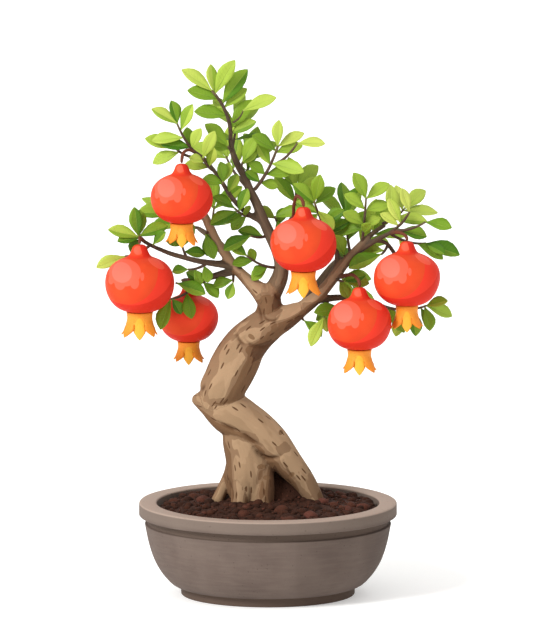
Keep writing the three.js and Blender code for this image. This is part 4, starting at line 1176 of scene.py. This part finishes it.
SHOOTS = {
    "top": ((-28, 3, 344), (-42, -3, 382), 0.66, {-80: 0.3, 35: 0.34, 30: 0.62, 63: 0.52}, (4, 0, 1)),
    "top_right": ((-26.2, 0, 357.5), (-18.7, -4, 367), 0.7, {}, (1, 0, -1)),
    "top_back": ((-27, 4, 337.5), (-24, 20, 352), 0.4),
    "left_top": ((-55, -15, 337.5), (-68, -20, 359.5), 0.68, {-78: 0.14, -7: 0.28}),
    "left_mid": ((-50, -13, 333), (-73.5, -12, 346), 0.64, {}, (-2, 0, -4)),
    "inner_left": ((-40.5, -7, 322), (-49, -17, 333), 0.66, {-57: 0.2}),
    "inner_low": ((-28.5, 0, 302.5), (-34, -10, 314), 0.36, {-5: 0.22, -74: 0.26, 15: 0.5}),
    "inner_mid": ((-13, 5, 285.5), (-25, -4, 293), 0.34, {-59: 0.2, 21: 0.42, -113: 0.28}),
    "leader_left": ((-26.5, 3, 335), (-30, -3, 340), 0.36),
    "leader_right": ((-21, 4, 322), (-19, -3, 328), 0.4, {49: 0.55}),
    "right_sub": ((-10, 4, 306), (7.5, -2, 340), 0.55,
        {3: 0.7, 61: 0.82, 73: 0.5, 87: 0.38, -52: 0.28, -33: 0.62}, (1, 0, -2)),
    "right_sub_side": ((6, 2, 326), (22, -8, 343), 0.8),
    "crown_back": ((-19, 4, 315.5), (-12, 24, 327), 0.3),
    "over_two": ((51, 4, 261.5), (34.5, -6, 299), 0.5, {11: 0.36, 54: 0.2, -49: 0.42, 140: 0.62}),
    "over_two_left": ((12, 24, 271), (5, 14, 284), 0.28, {-60: 0.55}),
    "upright": ((70.5, -1, 266.5), (73.5, -6, 301), 0.46, {-25: 0.44, 59: 0.58, -97: 0.26, -31: 0.26}),
    "upright_back": ((62, 0, 257), (58, 26, 284), 0.35),
    "tip_up": ((97, -4, 279), (106, -8, 291), 0.9, {72: 0.42}),
    "tip_right": ((94, -3.5, 276.5), (118, -10, 283.5), 0.66, {102: 0.28}),
    "tip_low": ((91, -3, 274), (118.5, 6, 265), 0.45, {117: 0.3, 147: 0.72}),
    "tip_mid": ((86, 7, 280), (102, 18, 289), 0.7),
    "right_in": ((90, 5, 264), (85, -3, 258), 0.42),
    "right_down": ((58, 9.3, 222), (56, 4, 215), 0.24),
    "bough_side": ((60, 2, 253), (57, 5, 256), 0.25),
    "over_five": ((50, 0, 240), (57, -6, 238), 0.42, {75: 0.24}),
    "low_right": ((88, 8, 216.5), (119, 4, 218), 0.55, {166: 0.28, 148: 0.24}),
    "under": ((45, 7, 222.5), (42, -1, 210), 0.58),
    "under_fork": ((24, 4, 212), (27, 2, 207), 0.2),
    "far_left": ((-92, -10, 268.5), (-97, -13, 273), 0.5,
        {3: 0.26, -74: 0.7, 72: 0.36, -92: 0.28, -145: 0.24}),
    "far_left_low": ((-88, -9, 266), (-107, -6, 257), 0.68),
    "left_up": ((-84, -8, 264), (-86, -13, 267), 0.32),
    "left_up_back": ((-60.5, -3.5, 255), (-64.5, 2, 264), 0.26),
    "left_hang": ((-43, 4.5, 276), (-47, 0, 273), 0.24, {178: 0.14}),
    "left_down": ((-45, -1, 251.3), (-60, -6, 247), 0.26),
    "six_over": ((-44, 8.5, 237.5), (-69, -8, 237), 0.34, {-60: 0.2}),
    "six_left": ((-51, 11, 235), (-73, -9, 225), 0.24, {153: 0.14}, (0, -3, -2)),
    "six_right": ((-26, 5, 243), (-26, 0, 236.5), 0.45, {-108: 0.26}),
    "heart_mid": ((-1, 4, 271), (-13, -3, 272), 0.24),
    "heart_low": ((5, 3, 247), (-16, -3, 257), 0.34, {-110: 0.2, -98: 0.24}),
    "back_left": ((-52, 46, 270.5), (-73.5, 58, 280.5), 0.5),
    "back_left_up": ((-44, 36, 266), (-40.5, 52, 286), 0.45),
    "back_mid": ((21, 52, 281), (21, 60, 300), 0.5),
    "back_right": ((60, 54, 251), (81, 58, 265.5), 0.5),
    "back_right_low": ((49.5, 42, 243), (63, 54, 226.5), 0.4),
    "back_top": ((-22, 40, 310), (-31.5, 52, 324), 0.55),
}
SAG = 0.09
TWIG_RADII = (1.25, 0.8)
TWIG_SIDES = 7
# where the solid blades have their sections, as shares of the length, and how wide the outer one is
SECTIONS = (0.38, 0.74)
OUTER_SHARE = 0.9
LEAF_WIDTHS = (3.5, 14)  # narrowest and widest
LEAF_SPAN = 30  # from the shoot's tip to where its leaves count as old
TIP_TONE, OLD_TONE, TONE_SPREAD = 0.05, 0.12, 0.07
LEAF_COLUMNS = 4
LEAF_ROWS = 9
LEAF_THICKNESS = 0.34
EDGE_LIFT = 0.22
MIDRIB_SINK = 0.45
BROADENED = ((0.45, 0.75), (1.2, 1.04))  # leaf tones, and widths against those of the flat-sided solids
STOUT = {"top": 1.35, "top_right": 0.6, "right_sub": 1.2}  # twigs thicker or thinner than the rest
UNEVEN_HALVES = 0.24  # how much wider the upper half of a leaf is
PLAIN_LEAVES = 0.55  # the share whose halves are alike, with no painted light and shade between them
LIKENESS = 14  # degrees between a leaf and its listed heading


def shoot_line(start, tip, bow, stoutness=1.0):
    """Rows of x, y, z and radius along a shoot that bows as listed, or else under its own weight."""
    start, tip = Vector(start), Vector(tip)
    middle = Vector(bow) if bow else Vector((0, 0, -SAG * (tip - start).length))
    rows = []
    for t in np.linspace(0, 1, 10):
        point = start.lerp(tip, t) + middle * (4 * t * (1 - t))
        rows.append((*point, stoutness * (TWIG_RADII[0] + (TWIG_RADII[1] - TWIG_RADII[0]) * t)))
    return np.array(rows)


def section(ring):
    """The three corners of a blade's section: one edge, the other edge and the keel."""
    trios = [(ring[i], ring[(i + 1) % 3], ring[(i + 2) % 3]) for i in range(3)]
    return max(trios, key=lambda trio: (trio[0].co - trio[1].co).length)


def read_blades(node):
    """The leaves of one solid spray: three points of the middle line, the way up, and the width.

    A leaf into which another one or the twig cuts near its tip isn't found. Four of 182 are left out so.
    """
    bm = bmesh.new()
    bm.from_mesh(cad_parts[node].data)
    bmesh.ops.remove_doubles(bm, verts=bm.verts[:], dist=0.002 * MM)
    blades = []
    for tip in bm.verts:
        outer = [edge.other_vert(tip) for edge in tip.link_edges]
        if len(outer) != 3:
            continue
        left, right, keel = section(outer)
        width = (left.co - right.co).length / OUTER_SHARE
        inner = {edge.other_vert(v) for v in outer for edge in v.link_edges} - {tip, *outer}
        if len(inner) != 3 or not LEAF_WIDTHS[0] * MM < width < LEAF_WIDTHS[1] * MM:
            continue
        a, b, low = section(list(inner))
        near = ((a.co + b.co) / 2 + low.co) / 2
        far = ((left.co + right.co) / 2 + keel.co) / 2
        up = (left.co + right.co) / 2 - keel.co
        blades.append((near, far, tip.co.copy(), up.normalized(), width))
    bm.free()
    return blades


def middle_line(blade, t):
    """A point on the curve through the blade's three known points, and on back to its root."""
    near, far, tip = blade[:3]
    a, b = SECTIONS
    return (
        near * ((t - b) * (t - 1) / ((a - b) * (a - 1)))
        + far * ((t - a) * (t - 1) / ((b - a) * (b - 1)))
        + tip * ((t - a) * (t - b) / ((1 - a) * (1 - b)))
    )


def leaf_half_width(t):
    """Half the leaf's width at a share of its length, in halves of its full width."""
    body = max(0.0, min(1.0, (t - 0.035) / 0.965))
    stem = 0.1 * (1 - min(1, t / 0.2)) + 0.02
    return max(math.sin(math.pi * body**1.3) ** (0.7 + 0.08 * body), stem if t < 0.97 else 0)


def grow_leaf(bm, layer, blade, tone, rng):
    """One leaf on a grid: lifted edges, a sunk midrib and a light wave."""
    up, width = blade[3:]
    broadened = np.interp(tone, *BROADENED)
    wave, phase = rng.uniform(0.1, 0.5), rng.uniform(0, 6.3)
    flip = rng.choice((-1, 1))
    plain = rng.random() < PLAIN_LEAVES
    verts = bmesh.ops.create_grid(bm, x_segments=LEAF_COLUMNS, y_segments=LEAF_ROWS, size=0.5)["verts"]
    for vert in verts:
        beside = 2 * vert.co.x
        t = 0.5 - 0.5 * math.cos(math.pi * (vert.co.y + 0.5))
        centre = middle_line(blade, t)
        way = (middle_line(blade, min(1, t + 0.02)) - middle_line(blade, t - 0.02)).normalized()
        side = up.cross(way).normalized()
        uneven = UNEVEN_HALVES * max(-1.0, min(1.0, 2.5 * side.z + 0.7 * flip))
        half = broadened * width / 2 * leaf_half_width(t) * (1 + uneven * math.copysign(1, beside))
        lift = abs(beside) * half * EDGE_LIFT - MIDRIB_SINK * MM * math.sin(math.pi * t)
        lift += wave * MM * abs(beside) * math.sin(7 * t + phase + beside) * math.sin(math.pi * t)
        vert.co = centre + side * (beside * half) + up * lift
        vert[layer] = (abs(beside) if plain else beside * flip, t, tone)


def make_foliage():
    leaf_paint, twig_paint = leaf_green(), shoot_bark()
    for number, (name, (start, tip, leaf_lightness, *extras)) in enumerate(SHOOTS.items()):
        own, bow = (*extras, *({}, None)[len(extras):])
        rng = random.Random(number)
        bm = bmesh.new()
        layer = bm.verts.layers.float_vector.new("blade")
        blades = read_blades("spray_" + name)
        tip_place = spot(*tip)
        for blade in blades:
            root = middle_line(blade, 0)
            inner = min(1, (root - tip_place).length / (LEAF_SPAN * MM))
            tone = leaf_lightness + TIP_TONE - OLD_TONE * inner + rng.uniform(-TONE_SPREAD, TONE_SPREAD)
            way = blade[2] - root
            heading = math.degrees(math.atan2(way.x, way.z))
            away = {key: abs((heading - key + 180) % 360 - 180) for key in own}
            nearest = min(away, key=away.get, default=None)
            if own and away[nearest] < LIKENESS:
                tone = own[nearest] + rng.uniform(-0.03, 0.03)
            grow_leaf(bm, layer, blade, max(0.04, min(0.97, tone)), rng)
        bmesh.ops.remove_doubles(bm, verts=bm.verts[:], dist=0.01 * MM)
        bmesh.ops.solidify(bm, geom=bm.faces[:], thickness=LEAF_THICKNESS * MM)
        twig = limb(shoot_line(start, tip, bow, STOUT.get(name, 1)), TWIG_SIDES, layer_name="blade")
        for face in twig.faces:
            face.material_index = 1
        bm = gathered([bm, twig])
        piece("foliage_" + name, bm, "leaf", ["spray_" + name], leaf_paint, twig_paint)


# ---- floor ----

FLOOR_HALF = 12


def make_floor():
    bm = bmesh.new()
    bmesh.ops.create_grid(bm, x_segments=1, y_segments=1, size=FLOOR_HALF)
    mesh = mesh_from(bm, "floor")
    mesh.materials.append(floor_grey().material)
    placed("floor", mesh)


set_camera()
set_lights()
make_floor()
make_bowl()
make_soil()
make_wood()
rind_paint = rind("rind", 1.0)
shaded_paint = rind("rind_shaded", 0.0)
calyx_paint = calyx()
for number, (middle, radius, _) in enumerate(FRUITS, start=1):
    make_fruit(number, middle, radius, shaded_paint if number == SHADED_FRUIT else rind_paint)
    make_crown(number, middle, radius, calyx_paint)
make_foliage()
